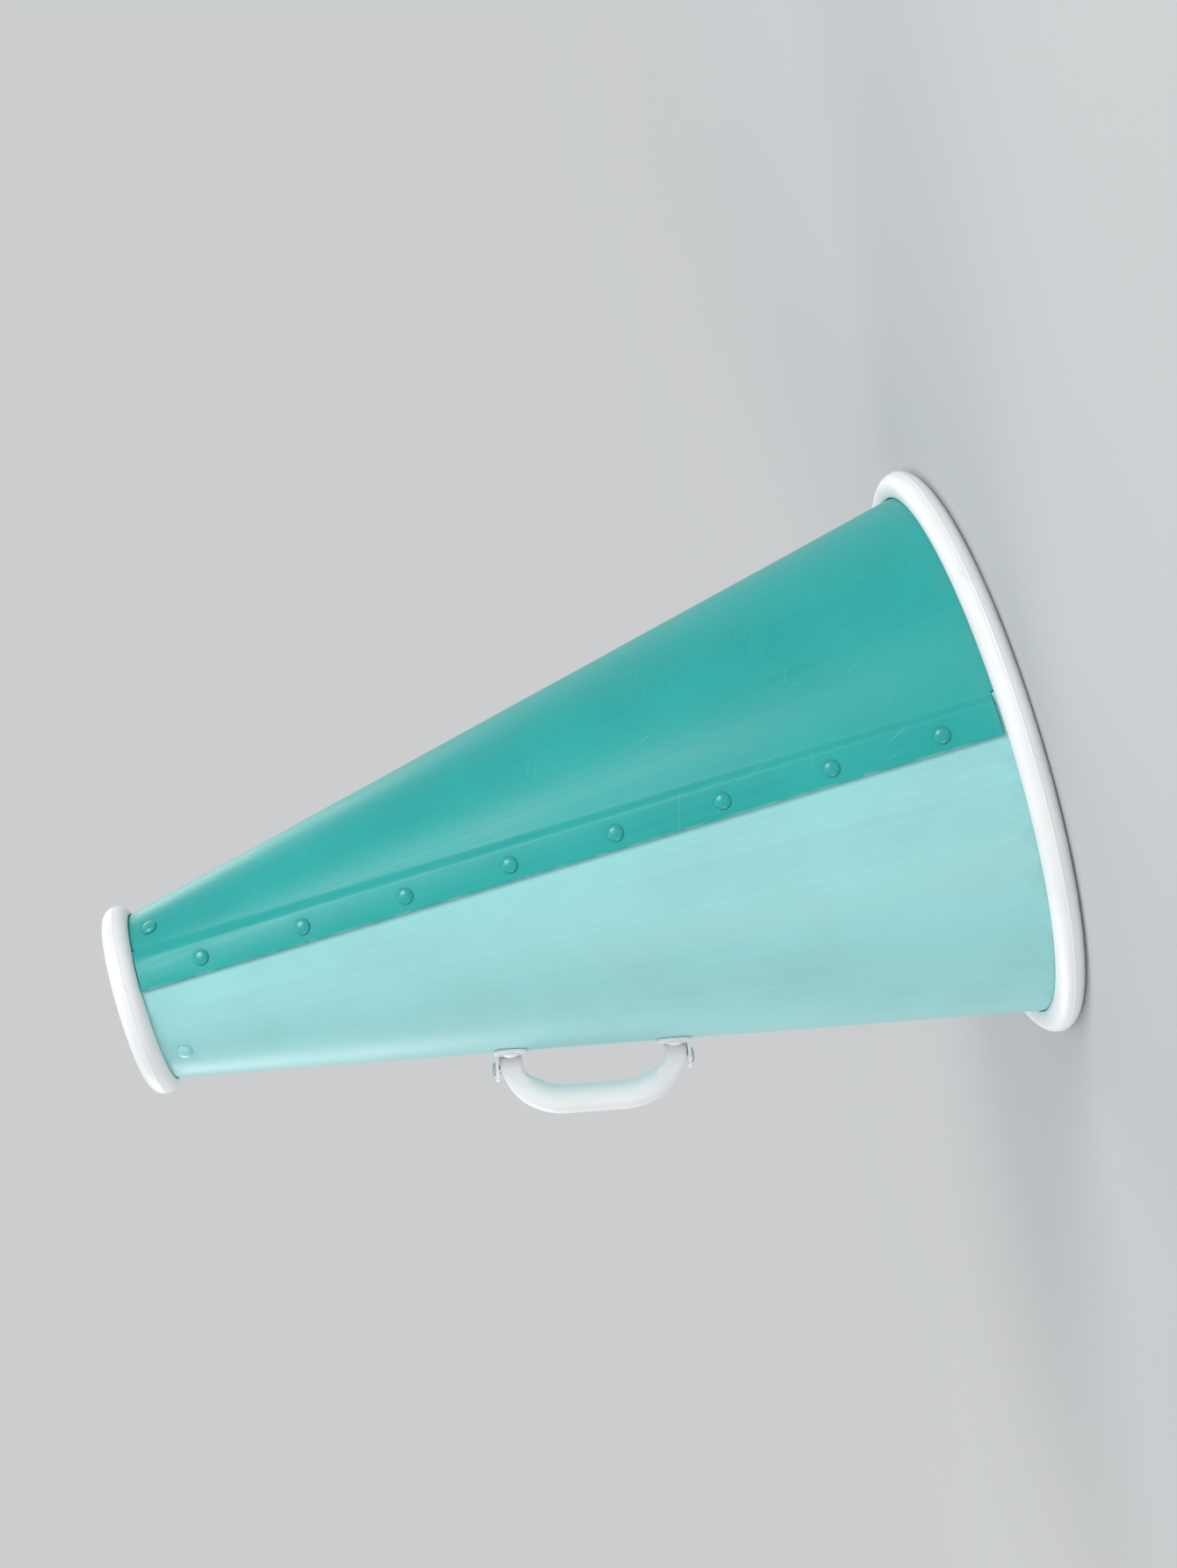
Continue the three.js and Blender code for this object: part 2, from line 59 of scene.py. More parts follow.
# ---- the cone, as the CAD has it
LENGTH = (cad_high.z - cad_low.z) / MM
BELL_RADIUS, MOUTH_RADIUS = 153.3, 46.0
SHEET = 2.0
BELL_RIM_WIDTH, BELL_RIM_HEIGHT, BELL_RIM_FLOOR, BELL_RIM_WALL = 17.4, 15.5, 5.0, 2.25
RIM_LAND = 4.7
LIP_WIDTH, LIP_HEIGHT, LIP_CAP, LIP_WALL = 15.4, 15.4, 7.7, 4.35
SPIGOT_LENGTH, SPIGOT_WALL = 22.6, 2.5
SEAM_X, LAP_WIDTH, JOGGLE_WIDTH = 4.0, 17.0, 6.5
SEAM_RIVETS, SEAM_RIVET_MARGIN, SPIGOT_CLEARANCE = 8, 30, 15
MOUTH_RIVET_DROP, UPPER_RIVET_SHARE, LOWER_RIVET_SHARE = 12, 0.75, 0.5
HOOP_WIRE = 4.5
GAP, GROOVE_GAP = 0.3, 0.5
BELL_Z = BELL_RIM_HEIGHT / 2
LIP_Z = LENGTH - LIP_HEIGHT / 2
SLOPE = (BELL_RADIUS - MOUTH_RADIUS) / (LIP_Z - BELL_Z)
TILT = math.atan(SLOPE)
SIN, COS = math.sin(TILT), math.cos(TILT)
SHEET_BOTTOM = BELL_RIM_FLOOR + SHEET * SIN + GROOVE_GAP
SHEET_TOP = LENGTH - LIP_CAP
LAP_LIFT = SHEET + GAP
LAP_END_X = SEAM_X + LAP_WIDTH
JOGGLE_END_X = LAP_END_X + JOGGLE_WIDTH
LAP_BOTTOM = BELL_RIM_HEIGHT + 2 * GAP
LAP_TOP = LENGTH - LIP_HEIGHT - 2 * GAP

# ---- the handle and its brackets, measured out from the cone's face
HANDLE_Z = 263.8
GRIP_RADIUS = 8.0
GRIP_HEIGHT = 29.3
HANDLE_WIDTH = 99.0
CORNER_RADIUS = 32.8
HINGE_HEIGHT = 9.9
BARREL_RADIUS, BARREL_LENGTH = 7.0, 13.0
TANG_HEIGHT = 8.3
BORE_DEPTH = 10.5
BEND_X = HANDLE_WIDTH / 2 - CORNER_RADIUS
BEND_Y = GRIP_HEIGHT - CORNER_RADIUS
LEG_X = BEND_X + math.sqrt(CORNER_RADIUS ** 2 - (HINGE_HEIGHT - BEND_Y) ** 2)
BARREL_END = LEG_X + BARREL_LENGTH / 2
BRACKET_SHEET = 2.0
EAR_CLEARANCE = 0.4
BRACKET_TAIL = 3.5
EAR_INNER = BARREL_END + EAR_CLEARANCE
EAR_OUTER = EAR_INNER + BRACKET_SHEET
BRACKET_INNER = LEG_X - BARREL_LENGTH / 2 - BRACKET_TAIL
BRACKET_REACH = 44.0
BRACKET_RIVET_SPACING = 32.0
PLATE_CORNER = 5.0
BACKING_SHEET = 1.5
BACKING_INSET = 2.0
BACKING_LIFT = 0.25
STACK = 1.9  # from the cone's inner face to the far face of a backing plate, with a little room
PIN_RADIUS = 2.5
PIN_REACH = 10
RIVET_RADIUS, RIVET_TAIL_RADIUS = 2.0, 3.5
HEAD_RADIUS = 4.5


# ================================================================ camera, floor and light
# The camera stands on the -Y side and is rolled, so that the mouthpiece points down to the left.
AXIS_RISE = math.radians(16.6)
CAMERA_PLACE = Vector((0.0, -1.56, 0.288))
AIM = Vector((0.045, 0.0, 0.2235))
LENS, SENSOR = 63, 36

camera = bpy.data.objects.new("camera", bpy.data.cameras.new("camera"))
camera.data.lens = LENS
camera.data.sensor_width = SENSOR
camera.data.clip_start, camera.data.clip_end = 0.05, 60
back = (CAMERA_PLACE - AIM).normalized()
up = Vector((math.cos(AXIS_RISE), 0, -math.sin(AXIS_RISE)))
right = up.cross(back).normalized()
up = back.cross(right)
camera.matrix_world = Matrix.Translation(CAMERA_PLACE) @ Matrix((right, up, back)).transposed().to_4x4()
bpy.context.scene.collection.objects.link(camera)
bpy.context.scene.camera = camera
bpy.context.scene.view_settings.view_transform = "Standard"

FLOOR_RADIUS, FLOOR_SIDES = 6.0, 96
FLOOR_FADE = (0.6, 2.4)
FLOOR_BASE = (0.535, 0.540, 0.546)
BACKGROUND = (0.600, 0.612, 0.622)


def add_studio():
    """A round floor. Its material fades it out into the background, so that no edge shows from any side."""
    bm = bmesh.new()
    bmesh.ops.create_circle(bm, cap_ends=True, segments=FLOOR_SIDES, radius=FLOOR_RADIUS)
    mesh = bpy.data.meshes.new("studio")
    bm.to_mesh(mesh)
    bm.free()
    floor = bpy.data.objects.new("studio", mesh)
    bpy.context.scene.collection.objects.link(floor)
    return floor


def add_light(name, place, size, watts):
    """A square soft light that faces the object's middle."""
    light = bpy.data.lights.new(name, "AREA")
    light.shape = "SQUARE"
    light.size = size
    light.energy = watts
    lamp = bpy.data.objects.new(name, light)
    middle = (cad_low + cad_high) / 2
    lamp.location = place
    lamp.rotation_euler = (middle - Vector(place)).to_track_quat("-Z", "Y").to_euler()
    lamp.visible_camera = False
    bpy.context.scene.collection.objects.link(lamp)


studio = add_studio()
add_light("key", (2.0, -2.1, 1.9), 1.3, 50)
add_light("front_fill", (-2.3, -2.2, 0.7), 1.8, 21)
add_light("top", (0.1, 0.2, 3.4), 2.2, 15)
add_light("back_left", (-2.2, 1.8, 1.6), 1.4, 24)
add_light("back_right", (1.7, 2.4, 1.5), 1.4, 15)
world = bpy.data.worlds.new("world")
bpy.context.scene.world = world
world.use_nodes = True
world.node_tree.nodes["Background"].inputs["Color"].default_value = (*BACKGROUND, 1)
world.node_tree.nodes["Background"].inputs["Strength"].default_value = 1.0


# ================================================================ materials
BUMP_UNIT = 0.0001


class Finish:
    """A procedural material. Its patterns use the piece's own coordinates, in metres."""

    def __init__(self, name, **sockets):
        self.material = bpy.data.materials.new(name)
        self.material.use_nodes = True
        self.tree = self.material.node_tree
        self.shader = self.tree.nodes["Principled BSDF"]
        for socket, value in sockets.items():
            self.shader.inputs[socket.replace("_", " ")].default_value = value
        self.place = self.tree.nodes.new("ShaderNodeTexCoord").outputs["Object"]

    def node(self, kind, inputs=None, output=0, **settings):
        made = self.tree.nodes.new("ShaderNode" + kind)
        for key, value in settings.items():
            setattr(made, key, value)
        for key, value in (inputs or {}).items():
            if isinstance(value, bpy.types.NodeSocket):
                self.tree.links.new(value, made.inputs[key])
            else:
                made.inputs[key].default_value = value
        return made.outputs[output]

    def math(self, operation, a, b=0.0, clamp=False):
        return self.node("Math", {0: a, 1: b}, operation=operation, use_clamp=clamp)

    def wrapped(self, radius, facing=1.0):
        """(round, along the axis, out) coordinates of a turned piece, in metres.

        They join up on the side away from facing, which is 1 for +X and -1 for -X.
        """
        x, y = (self.math("MULTIPLY", self.axis(letter), facing) for letter in "XY")
        turn = self.math("MULTIPLY", self.math("ARCTAN2", y, x), radius)
        flat = self.node("CombineXYZ", {0: x, 1: y})
        out = self.node("VectorMath", {0: flat}, output="Value", operation="LENGTH")
        return self.node("CombineXYZ", {0: turn, 1: self.axis("Z"), 2: out})

    def stretched(self, scale, turn=0.0, vector=None):
        """Coordinates turned in their first two axes and then scaled, which draws a pattern out one way."""
        turned = self.rotated(vector or self.place, turn, "Z_AXIS")
        return self.node("VectorMath", {0: turned, 1: scale}, operation="MULTIPLY")

    def rotated(self, vector, angle, axis):
        return self.node("VectorRotate", {"Vector": vector, "Angle": angle}, rotation_type=axis)

    def noise(self, size, detail=2.0, roughness=0.5, vector=None):
        """Soft noise, from 0 to 1, with features about size metres across."""
        return self.node("TexNoise", {
            "Vector": vector or self.place, "Scale": 1 / size, "Detail": detail, "Roughness": roughness,
        })

    def range(self, value, low, high, to_low=0.0, to_high=1.0):
        """value, taken smoothly from low..high to to_low..to_high."""
        return self.node("MapRange", {
            "Value": value, "From Min": low, "From Max": high, "To Min": to_low, "To Max": to_high,
        }, interpolation_type="SMOOTHSTEP")

    def mix(self, share, a, b):
        """Colour a where share is 0 and b where it is 1."""
        made = self.tree.nodes.new("ShaderNodeMix")
        made.data_type = "RGBA"
        for socket, value in ((made.inputs[0], share), (made.inputs[6], a), (made.inputs[7], b)):
            if isinstance(value, bpy.types.NodeSocket):
                self.tree.links.new(value, socket)
            elif isinstance(value, float):
                socket.default_value = value
            else:
                socket.default_value = (*value, 1)
        return made.outputs[2]

    def axis(self, letter):
        return self.node("SeparateXYZ", {0: self.place}, output="XYZ".index(letter))

    def band(self, value, centre, reach):
        """1 where value is at centre, down to 0 at reach from it."""
        away = self.math("ABSOLUTE", self.math("SUBTRACT", value, centre))
        return self.range(away, 0.0, reach, 1.0, 0.0)

    def scratches(self, length, width, turn, vector=None):
        """Thin straight marks at an angle to the first axis, where a wider noise allows them."""
        drawn_out = self.stretched((1 / length, 1 / width, 1 / (4 * width)), turn, vector)
        lines = self.noise(1.0, 1.0, 0.4, drawn_out)
        thin = self.range(lines, 0.67, 0.77)
        where = self.range(self.noise(length * 0.8, 1.0, vector=vector), 0.44, 0.62)
        return self.math("MULTIPLY", thin, where)

    def bump(self, *layers):
        """Relief from (height, metres) layers, each height from 0 to 1."""
        total = 0.0
        for height, metres in layers:
            total = self.math("ADD", total, self.math("MULTIPLY", height, metres / BUMP_UNIT))
        normal = self.node("Bump", {"Height": total, "Distance": BUMP_UNIT, "Strength": 1.0})
        self.tree.links.new(normal, self.shader.inputs["Normal"])

    def colour(self, value):
        self.tree.links.new(value, self.shader.inputs["Base Color"])

    def roughness(self, value):
        self.tree.links.new(value, self.shader.inputs["Roughness"])


def scaled(colour, factor):
    return tuple(min(1.0, channel * factor) for channel in colour)


def towards(colour, other, share):
    return tuple(a + (b - a) * share for a, b in zip(colour, other))


TEAL = (0.012, 0.372, 0.348)
AQUA = (0.318, 0.668, 0.672)
PALE = (0.880, 0.887, 0.890)
WHITE = (1.0, 1.0, 1.0)
GREY = (0.40, 0.41, 0.42)
SOIL = (0.46, 0.45, 0.43)
DUST = (0.35, 0.33, 0.30)
STEEL = (0.62, 0.635, 0.645)

SHEET_WRAP = 100  # the radius at which the sheets' patterns are wrapped round the cone, in millimetres


def sheet_plastic(name, colour, facing, edge=None):
    """Rolled plastic sheet: satin, with faint lines along it, soft handling marks and a paler worn edge."""
    f = Finish(name, Metallic=0.0, IOR=1.47, Specular_IOR_Level=0.45)
    flat = f.wrapped(SHEET_WRAP * MM, facing)
    cloud = f.noise(0.070, 3.0, 0.55)
    streaks = f.noise(1.0, 3.0, 0.6, f.stretched((1 / 0.0026, 1 / 0.30, 1.0), 0.0, flat))
    fine = f.noise(0.0014, 2.0, 0.6)
    tone = f.mix(f.range(cloud, 0.30, 0.70), scaled(colour, 0.95), scaled(colour, 1.04))
    tone = f.mix(f.math("MULTIPLY", f.range(streaks, 0.42, 0.64), 0.30), tone, scaled(colour, 1.09))
    tone = f.mix(f.math("MULTIPLY", f.range(fine, 0.35, 0.65), 0.09), tone, scaled(colour, 0.84))
    marks = f.scratches(0.060, 0.0010, 1.25, flat)
    cross = f.scratches(0.038, 0.0009, 0.35, flat)
    scuffs = f.math("ADD", marks, cross, clamp=True)
    tone = f.mix(f.math("MULTIPLY", scuffs, 0.15), tone, towards(colour, WHITE, 0.30))
    height = f.axis("Z")
    settled = f.math(
        "ADD",
        f.band(height, (LAP_BOTTOM + 0.5) * MM, 0.012),
        f.band(height, (LAP_TOP - 0.5) * MM, 0.010),
        clamp=True,
    )
    dusty = f.math("MULTIPLY", settled, f.range(f.noise(0.009, 4.0, 0.65), 0.35, 0.75))
    tone = f.mix(f.math("MULTIPLY", dusty, 0.35), tone, scaled(towards(colour, DUST, 0.3), 0.8))
    if edge is not None:
        near = f.band(f.axis("X"), edge * MM, 0.0011)
        worn = f.math("MULTIPLY", near, f.range(f.noise(0.012, 3.0, 0.6), 0.42, 0.66))
        tone = f.mix(f.math("MULTIPLY", worn, 0.50), tone, towards(colour, WHITE, 0.35))
    f.colour(tone)
    satin = f.range(cloud, 0.25, 0.75, 0.35, 0.44)
    satin = f.math("ADD", satin, f.range(streaks, 0.35, 0.65, -0.03, 0.03))
    satin = f.math("ADD", satin, f.math("MULTIPLY", scuffs, 0.12))
    satin = f.math("ADD", satin, f.math("MULTIPLY", dusty, 0.16))
    f.roughness(satin)
    ripple = f.noise(0.0058, 2.0, 0.5)
    f.bump((ripple, 0.000045), (fine, 0.000010), (streaks, 0.000012), (scuffs, -0.000014))
    return f.material


def moulded_plastic(name, grain=0.0009, grain_height=0.000022, foot=None, gloss=0.34, turned=None):
    """White moulded plastic: fine even grain, flow clouds, and grey scuffs where it is knocked and set down.

    turned is the radius of a turned piece and foot is how far soil reaches up from the floor, both in
    millimetres.
    """
    f = Finish(
        name, Metallic=0.0, IOR=1.48, Specular_IOR_Level=0.5, Subsurface_Weight=0.05, Subsurface_Scale=0.003,
    )
    flat = f.wrapped(turned * MM) if turned else f.rotated(f.place, math.pi / 2, "Y_AXIS")
    cloud = f.noise(0.042, 3.0, 0.55)
    skin = f.noise(grain, 3.0, 0.62)
    pits = f.noise(0.0048, 2.0, 0.5)
    tone = f.mix(f.range(cloud, 0.32, 0.68), scaled(PALE, 0.965), PALE)
    tone = f.mix(f.math("MULTIPLY", f.range(skin, 0.56, 0.78), 0.18), tone, scaled(PALE, 0.86))
    marks = f.scratches(0.026, 0.0009, 0.10, flat)
    rubs = f.scratches(0.015, 0.0011, -0.55, flat)
    scuffs = f.math("ADD", marks, rubs, clamp=True)
    tone = f.mix(f.math("MULTIPLY", scuffs, 0.20), tone, SOIL)
    if foot is not None:
        low = f.range(f.axis("Z"), 0.0002, foot * MM, 1.0, 0.0)
        dirt = f.math("MULTIPLY", low, f.range(f.noise(0.007, 5.0, 0.7), 0.34, 0.70))
        tone = f.mix(f.math("MULTIPLY", dirt, 0.60), tone, SOIL)
        scuffs = f.math("ADD", scuffs, f.math("MULTIPLY", dirt, 0.7), clamp=True)
    f.colour(tone)
    satin = f.range(cloud, 0.25, 0.75, gloss, gloss + 0.09)
    satin = f.math("ADD", satin, f.range(skin, 0.30, 0.70, -0.02, 0.04))
    f.roughness(f.math("ADD", satin, f.math("MULTIPLY", scuffs, 0.18)))
    f.bump((skin, grain_height), (pits, 0.000028), (scuffs, -0.000016))
    return f.material


def paint_on_metal(name, colour, gloss):
    """Baked paint over metal: orange peel, with small chips that show the metal's grey."""
    f = Finish(name, Metallic=0.0, IOR=1.5, Coat_Weight=0.25, Coat_Roughness=0.18)
    peel = f.noise(0.0021, 2.0, 0.45)
    cloud = f.noise(0.018, 3.0, 0.6)
    speck = f.noise(0.0030, 4.0, 0.7)
    chips = f.range(speck, 0.735, 0.765)
    tone = f.mix(f.range(cloud, 0.35, 0.65), scaled(colour, 0.94), scaled(colour, 1.02))
    tone = f.mix(f.math("MULTIPLY", chips, 0.85), tone, GREY)
    f.colour(tone)
    f.roughness(f.math("ADD", f.range(cloud, 0.3, 0.7, gloss, gloss + 0.08), f.math("MULTIPLY", chips, 0.2)))
    f.bump((peel, 0.000026), (chips, -0.000030))
    return f.material


def zinc_plate(name):
    """Zinc-plated steel: faint spangle, drawing lines and dull spots."""
    f = Finish(name, Metallic=1.0)
    spangle = f.node("TexVoronoi", {"Vector": f.place, "Scale": 1 / 0.0042, "Randomness": 1.0}, output=1)
    grey = f.node("RGBToBW", {0: spangle})
    lines = f.noise(1.0, 2.0, 0.6, f.stretched((1 / 0.02, 1 / 0.0005, 1 / 0.0009), 0.4))
    dull = f.range(f.noise(0.008, 4.0, 0.65), 0.48, 0.72)
    tone = f.mix(f.range(grey, 0.1, 0.9), scaled(STEEL, 0.86), scaled(STEEL, 1.08))
    tone = f.mix(f.math("MULTIPLY", dull, 0.45), tone, scaled(STEEL, 0.66))
    f.colour(tone)
    rough = f.math("ADD", f.range(grey, 0.1, 0.9, 0.26, 0.38), f.math("MULTIPLY", dull, 0.18))
    f.roughness(f.math("ADD", rough, f.range(lines, 0.3, 0.7, -0.03, 0.05)))
    f.bump((lines, 0.000006), (dull, 0.000006))
    return f.material


teal_sheet = sheet_plastic("teal_sheet", TEAL, 1.0, edge=SEAM_X)
aqua_sheet = sheet_plastic("aqua_sheet", AQUA, -1.0)
rim_vinyl = moulded_plastic("rim_vinyl", foot=3.2, gloss=0.36, turned=BELL_RADIUS)
white_moulding = moulded_plastic("white_moulding", turned=MOUTH_RADIUS)
handle_moulding = moulded_plastic("handle_moulding", grain=0.0012, grain_height=0.000040, gloss=0.42)
white_enamel = paint_on_metal("white_enamel", PALE, 0.30)
teal_enamel = paint_on_metal("teal_enamel", TEAL, 0.26)
aqua_enamel = paint_on_metal("aqua_enamel", AQUA, 0.26)
zinc = zinc_plate("zinc")


def studio_paint():
    """Plain matt floor, which thins out to nothing far from the object."""
    f = Finish("studio_paint", Metallic=0.0, Specular_IOR_Level=0.0)
    f.colour(f.mix(f.range(f.noise(0.9, 2.0), 0.3, 0.7), scaled(FLOOR_BASE, 0.985), FLOOR_BASE))
    f.roughness(f.range(f.noise(0.4, 2.0), 0.3, 0.7, 0.78, 0.84))
    away = f.node("VectorMath", {0: f.place}, output="Value", operation="LENGTH")
    f.tree.links.new(f.range(away, *FLOOR_FADE, 1.0, 0.0), f.shader.inputs["Alpha"])
    return f.material


studio.data.materials.append(studio_paint())


# ================================================================ shapes
def cone_radius(z):
    return BELL_RADIUS - (z - BELL_Z) * SLOPE


def face_point(z, out):
    """(radius, height) of a point that lies out from the cone's outer face at a height."""
    return cone_radius(z) + out * COS, z + out * SIN


def cone_point(z, angle, out=0.0):
    radius, height = face_point(z, out)
    return Vector((radius * math.cos(angle), radius * math.sin(angle), height))


def angle_at_plane(x, z, out=0.0):
    """The angle from +X at which the plane of an x meets the cone, lifted out from its face."""
    return math.acos(x / face_point(z, out)[0])


def cone_frame(z, angle):
    """A frame on the cone's face: X along it to the mouth, Y out of it and Z round it."""
    round_ = Vector((-math.sin(angle), math.cos(angle), 0))
    out = Vector((math.cos(angle) * COS, math.sin(angle) * COS, SIN))
    axes = Matrix((out.cross(round_), out, round_)).transposed().to_4x4()
    return Matrix.Translation(cone_point(z, angle)) @ axes


SHARP_ANGLE, BEVEL_ANGLE, BEVEL_SEGMENTS = 42, 50, 3


def add_piece(name, points, faces, nodes, material, slot, body="megaphone", matrix=None, bevel=0.0):
    """A closed mesh in the CAD's place, which rides on a body and stands for CAD nodes."""
    bm = bmesh.new()
    matrix = matrix or Matrix.Identity(4)
    verts = [bm.verts.new(matrix @ Vector(point) * MM) for point in points]
    for face in faces:
        bm.faces.new([verts[i] for i in face])
    bmesh.ops.recalc_face_normals(bm, faces=bm.faces)
    mesh = bpy.data.meshes.new(name)
    bm.to_mesh(mesh)
    bm.free()
    mesh.shade_smooth()
    piece = bpy.data.objects.new(name, mesh)
    bpy.context.scene.collection.objects.link(piece)
    piece.data.materials.append(material)
    mesh.set_sharp_from_angle(angle=math.radians(SHARP_ANGLE))
    if bevel:
        rounding = piece.modifiers.new("rounding", "BEVEL")
        rounding.width = bevel * MM
        rounding.segments = BEVEL_SEGMENTS
        rounding.limit_method = "ANGLE"
        rounding.angle_limit = math.radians(BEVEL_ANGLE)
        rounding.harden_normals = True
    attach(piece, body)
    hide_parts(*nodes)
    return piece


def rounded(corners, steps=5):
    """A closed outline from (x, y, radius) corners, with an arc in place of each corner that has a radius."""
    points = []
    for i, (x, y, radius) in enumerate(corners):
        corner = Vector((x, y))
        if not radius:
            points.append((x, y))
            continue
        before = (Vector(corners[i - 1][:2]) - corner).normalized()
        after = (Vector(corners[(i + 1) % len(corners)][:2]) - corner).normalized()
        half = before.angle(after) / 2
        centre = corner + (before + after).normalized() * (radius / math.sin(half))
        start = corner + before * (radius / math.tan(half)) - centre
        end = corner + after * (radius / math.tan(half)) - centre
        turn = start.angle_signed(end)
        for step in range(steps + 1):
            spoke = start.copy()
            spoke.rotate(Matrix.Rotation(-turn * step / steps, 2))
            points.append(tuple(centre + spoke))
    return points


def lathe(section, sides, place, shift=None):
    """Points and faces of a closed section turned about an axis, where place gives each point."""
    points, faces = [], []
    count = len(section)
    for i, turn in enumerate(sides):
        for radius, height in section:
            if shift:
                radius, height = shift(radius, height, turn)
            points.append(place(radius, height, turn))
        nxt = (i + 1) % len(sides)
        faces += [
            (i * count + k, i * count + (k + 1) % count, nxt * count + (k + 1) % count, nxt * count + k)
            for k in range(count)
        ]
    return points, faces


def turns(sides):
    return [2 * math.pi * i / sides for i in range(sides)]


def circle(x, y, radius, sides=28):
    return [(x + radius * math.cos(t), y + radius * math.sin(t)) for t in turns(sides)]


def about_z(radius, height, turn):
    return radius * math.cos(turn), radius * math.sin(turn), height


# ---------------------------------------------------------------- the rivets' places
first_seam_z = LAP_BOTTOM + SEAM_RIVET_MARGIN
seam_run = LENGTH - LIP_HEIGHT - SPIGOT_LENGTH - SPIGOT_CLEARANCE - first_seam_z
seam_zs = [first_seam_z + seam_run * i / (SEAM_RIVETS - 1) for i in range(SEAM_RIVETS)]
seam_rivets = {
    f"seam_rivet_{side}_{i + 1}": (z, sign * angle_at_plane(SEAM_X + LAP_WIDTH / 2, z))
    for side, sign in (("right", -1), ("left", 1)) for i, z in enumerate(seam_zs)
}
mouth_rivet_z = LENGTH - LIP_HEIGHT - MOUTH_RIVET_DROP
upper_turn = UPPER_RIVET_SHARE * angle_at_plane(JOGGLE_END_X, mouth_rivet_z)
lower_turn = LOWER_RIVET_SHARE * (math.pi - angle_at_plane(SEAM_X, mouth_rivet_z))
mouth_rivets = {
    f"mouthpiece_rivet_{i + 1}": (mouth_rivet_z, turn)
    for i, turn in enumerate((upper_turn, math.pi - lower_turn, math.pi + lower_turn, -upper_turn))
}
bracket_rivets = {}
for end, name in ((-1, "rear"), (1, "front")):
    for side, sign in (("left", -1), ("right", 1)):
        z = HANDLE_Z + end * (BRACKET_INNER + EAR_OUTER) * COS / 2
        turn = BRACKET_RIVET_SPACING / 2 / cone_radius(z)
        bracket_rivets[f"bracket_rivet_{name}_{side}"] = (z, math.pi + sign * turn)
pulled_in = list(seam_rivets.values()) + list(mouth_rivets.values())


# (size, length) of the rolled sheet's waves, and the depth, spread and reach of its dimples at the rivets
WAVES = ((0.11, 62), (0.035, 21))
DIMPLE, DIMPLE_SPREAD, DIMPLE_REACH = 0.20, 34, 16


def waviness(z, angle):
    """How far the rolled sheet stands off a true cone: slow waves, and a slight pull at each rivet."""
    place = cone_point(z, angle)
    out = sum(size * noise.noise(place / length) for size, length in WAVES)
    for rivet_z, rivet_angle in pulled_in:
        if abs(z - rivet_z) < DIMPLE_REACH:
            round_ = cone_radius(rivet_z) * (angle - rivet_angle)
            distance = (round_ ** 2 + (z - rivet_z) ** 2) / DIMPLE_SPREAD
            if distance < 8:
                out -= DIMPLE * math.exp(-distance)
    return out


def smooth_step(share):
    share = min(1.0, max(0.0, share))
    return share * share * (3 - 2 * share)


PANEL_ROWS, UPPER_HALF_COLUMNS, LOWER_HALF_COLUMNS = 190, 64, 78
FLANGE_COLUMNS, JOGGLE_COLUMNS = 18, 12
SHEET_EDGE = 0.55


def add_panel(name, columns, present, material, slot):
    """A rolled sheet, cut from a blank of rows and columns.

    Each column is (angle(z), lift), and present(z, column) says which cells of the blank are there.
    """
    lap_rows = [LAP_BOTTOM + (LAP_TOP - LAP_BOTTOM) * i / PANEL_ROWS for i in range(PANEL_ROWS + 1)]
    rows = [SHEET_BOTTOM, (SHEET_BOTTOM + LAP_BOTTOM) / 2, *lap_rows, (SHEET_TOP + LAP_TOP) / 2, SHEET_TOP]
    cells = {
        (i, j)
        for i in range(len(rows) - 1) for j in range(len(columns) - 1)
        if present((rows[i] + rows[i + 1]) / 2, j)
    }
    points, index = [], {}

    def corner(i, j, side):
        if (i, j, side) not in index:
            angle_at, lift = columns[j]
            angle = angle_at(rows[i])
            out = lift + waviness(rows[i], angle) * (1.0 if LAP_BOTTOM < rows[i] < LAP_TOP else 0.0)
            index[i, j, side] = len(points)
            points.append(cone_point(rows[i], angle, out - (0 if side else SHEET)))
        return index[i, j, side]

    faces = []
    for i, j in cells:
        ring = [(i, j), (i + 1, j), (i + 1, j + 1), (i, j + 1)]
        faces.append([corner(*c, 1) for c in ring])
        faces.append([corner(*c, 0) for c in reversed(ring)])
        for beside, (a, b) in (
            ((i, j - 1), (ring[0], ring[1])), ((i + 1, j), (ring[1], ring[2])),
            ((i, j + 1), (ring[2], ring[3])), ((i - 1, j), (ring[3], ring[0])),
        ):
            if beside not in cells:
                faces.append([corner(*a, 1), corner(*a, 0), corner(*b, 0), corner(*b, 1)])
    add_piece(name, points, faces, [name], material, slot, bevel=SHEET_EDGE)


def at_plane(side, x, lift):
    return (lambda z: side * angle_at_plane(x, z, lift)), lift


def upper_columns():
    """From the free edge at -Y, through the joggle and round the cone, to the free edge at +Y."""
    half = [(SEAM_X + LAP_WIDTH * i / FLANGE_COLUMNS, LAP_LIFT) for i in range(FLANGE_COLUMNS + 1)]
    for i in range(1, JOGGLE_COLUMNS):
        share = i / JOGGLE_COLUMNS
        half.append((LAP_END_X + JOGGLE_WIDTH * share, LAP_LIFT * (1 - smooth_step(share))))
    plain = []
    for i in range(2 * UPPER_HALF_COLUMNS + 1):
        share = i / UPPER_HALF_COLUMNS - 1
        plain.append(((lambda z, s=share: s * angle_at_plane(JOGGLE_END_X, z)), 0.0))
    front = [at_plane(-1, x, lift) for x, lift in half]
    rear = [at_plane(1, x, lift) for x, lift in reversed(half)]
    return front, plain, rear


front, plain, rear = upper_columns()
flange = len(front)
whole = len(front) + len(plain) + len(rear)
add_panel(
    "upper_panel", front + plain + rear,
    lambda z, j: LAP_BOTTOM < z < LAP_TOP or flange <= j < whole - flange - 1,
    teal_sheet, "upper_sheet",
)


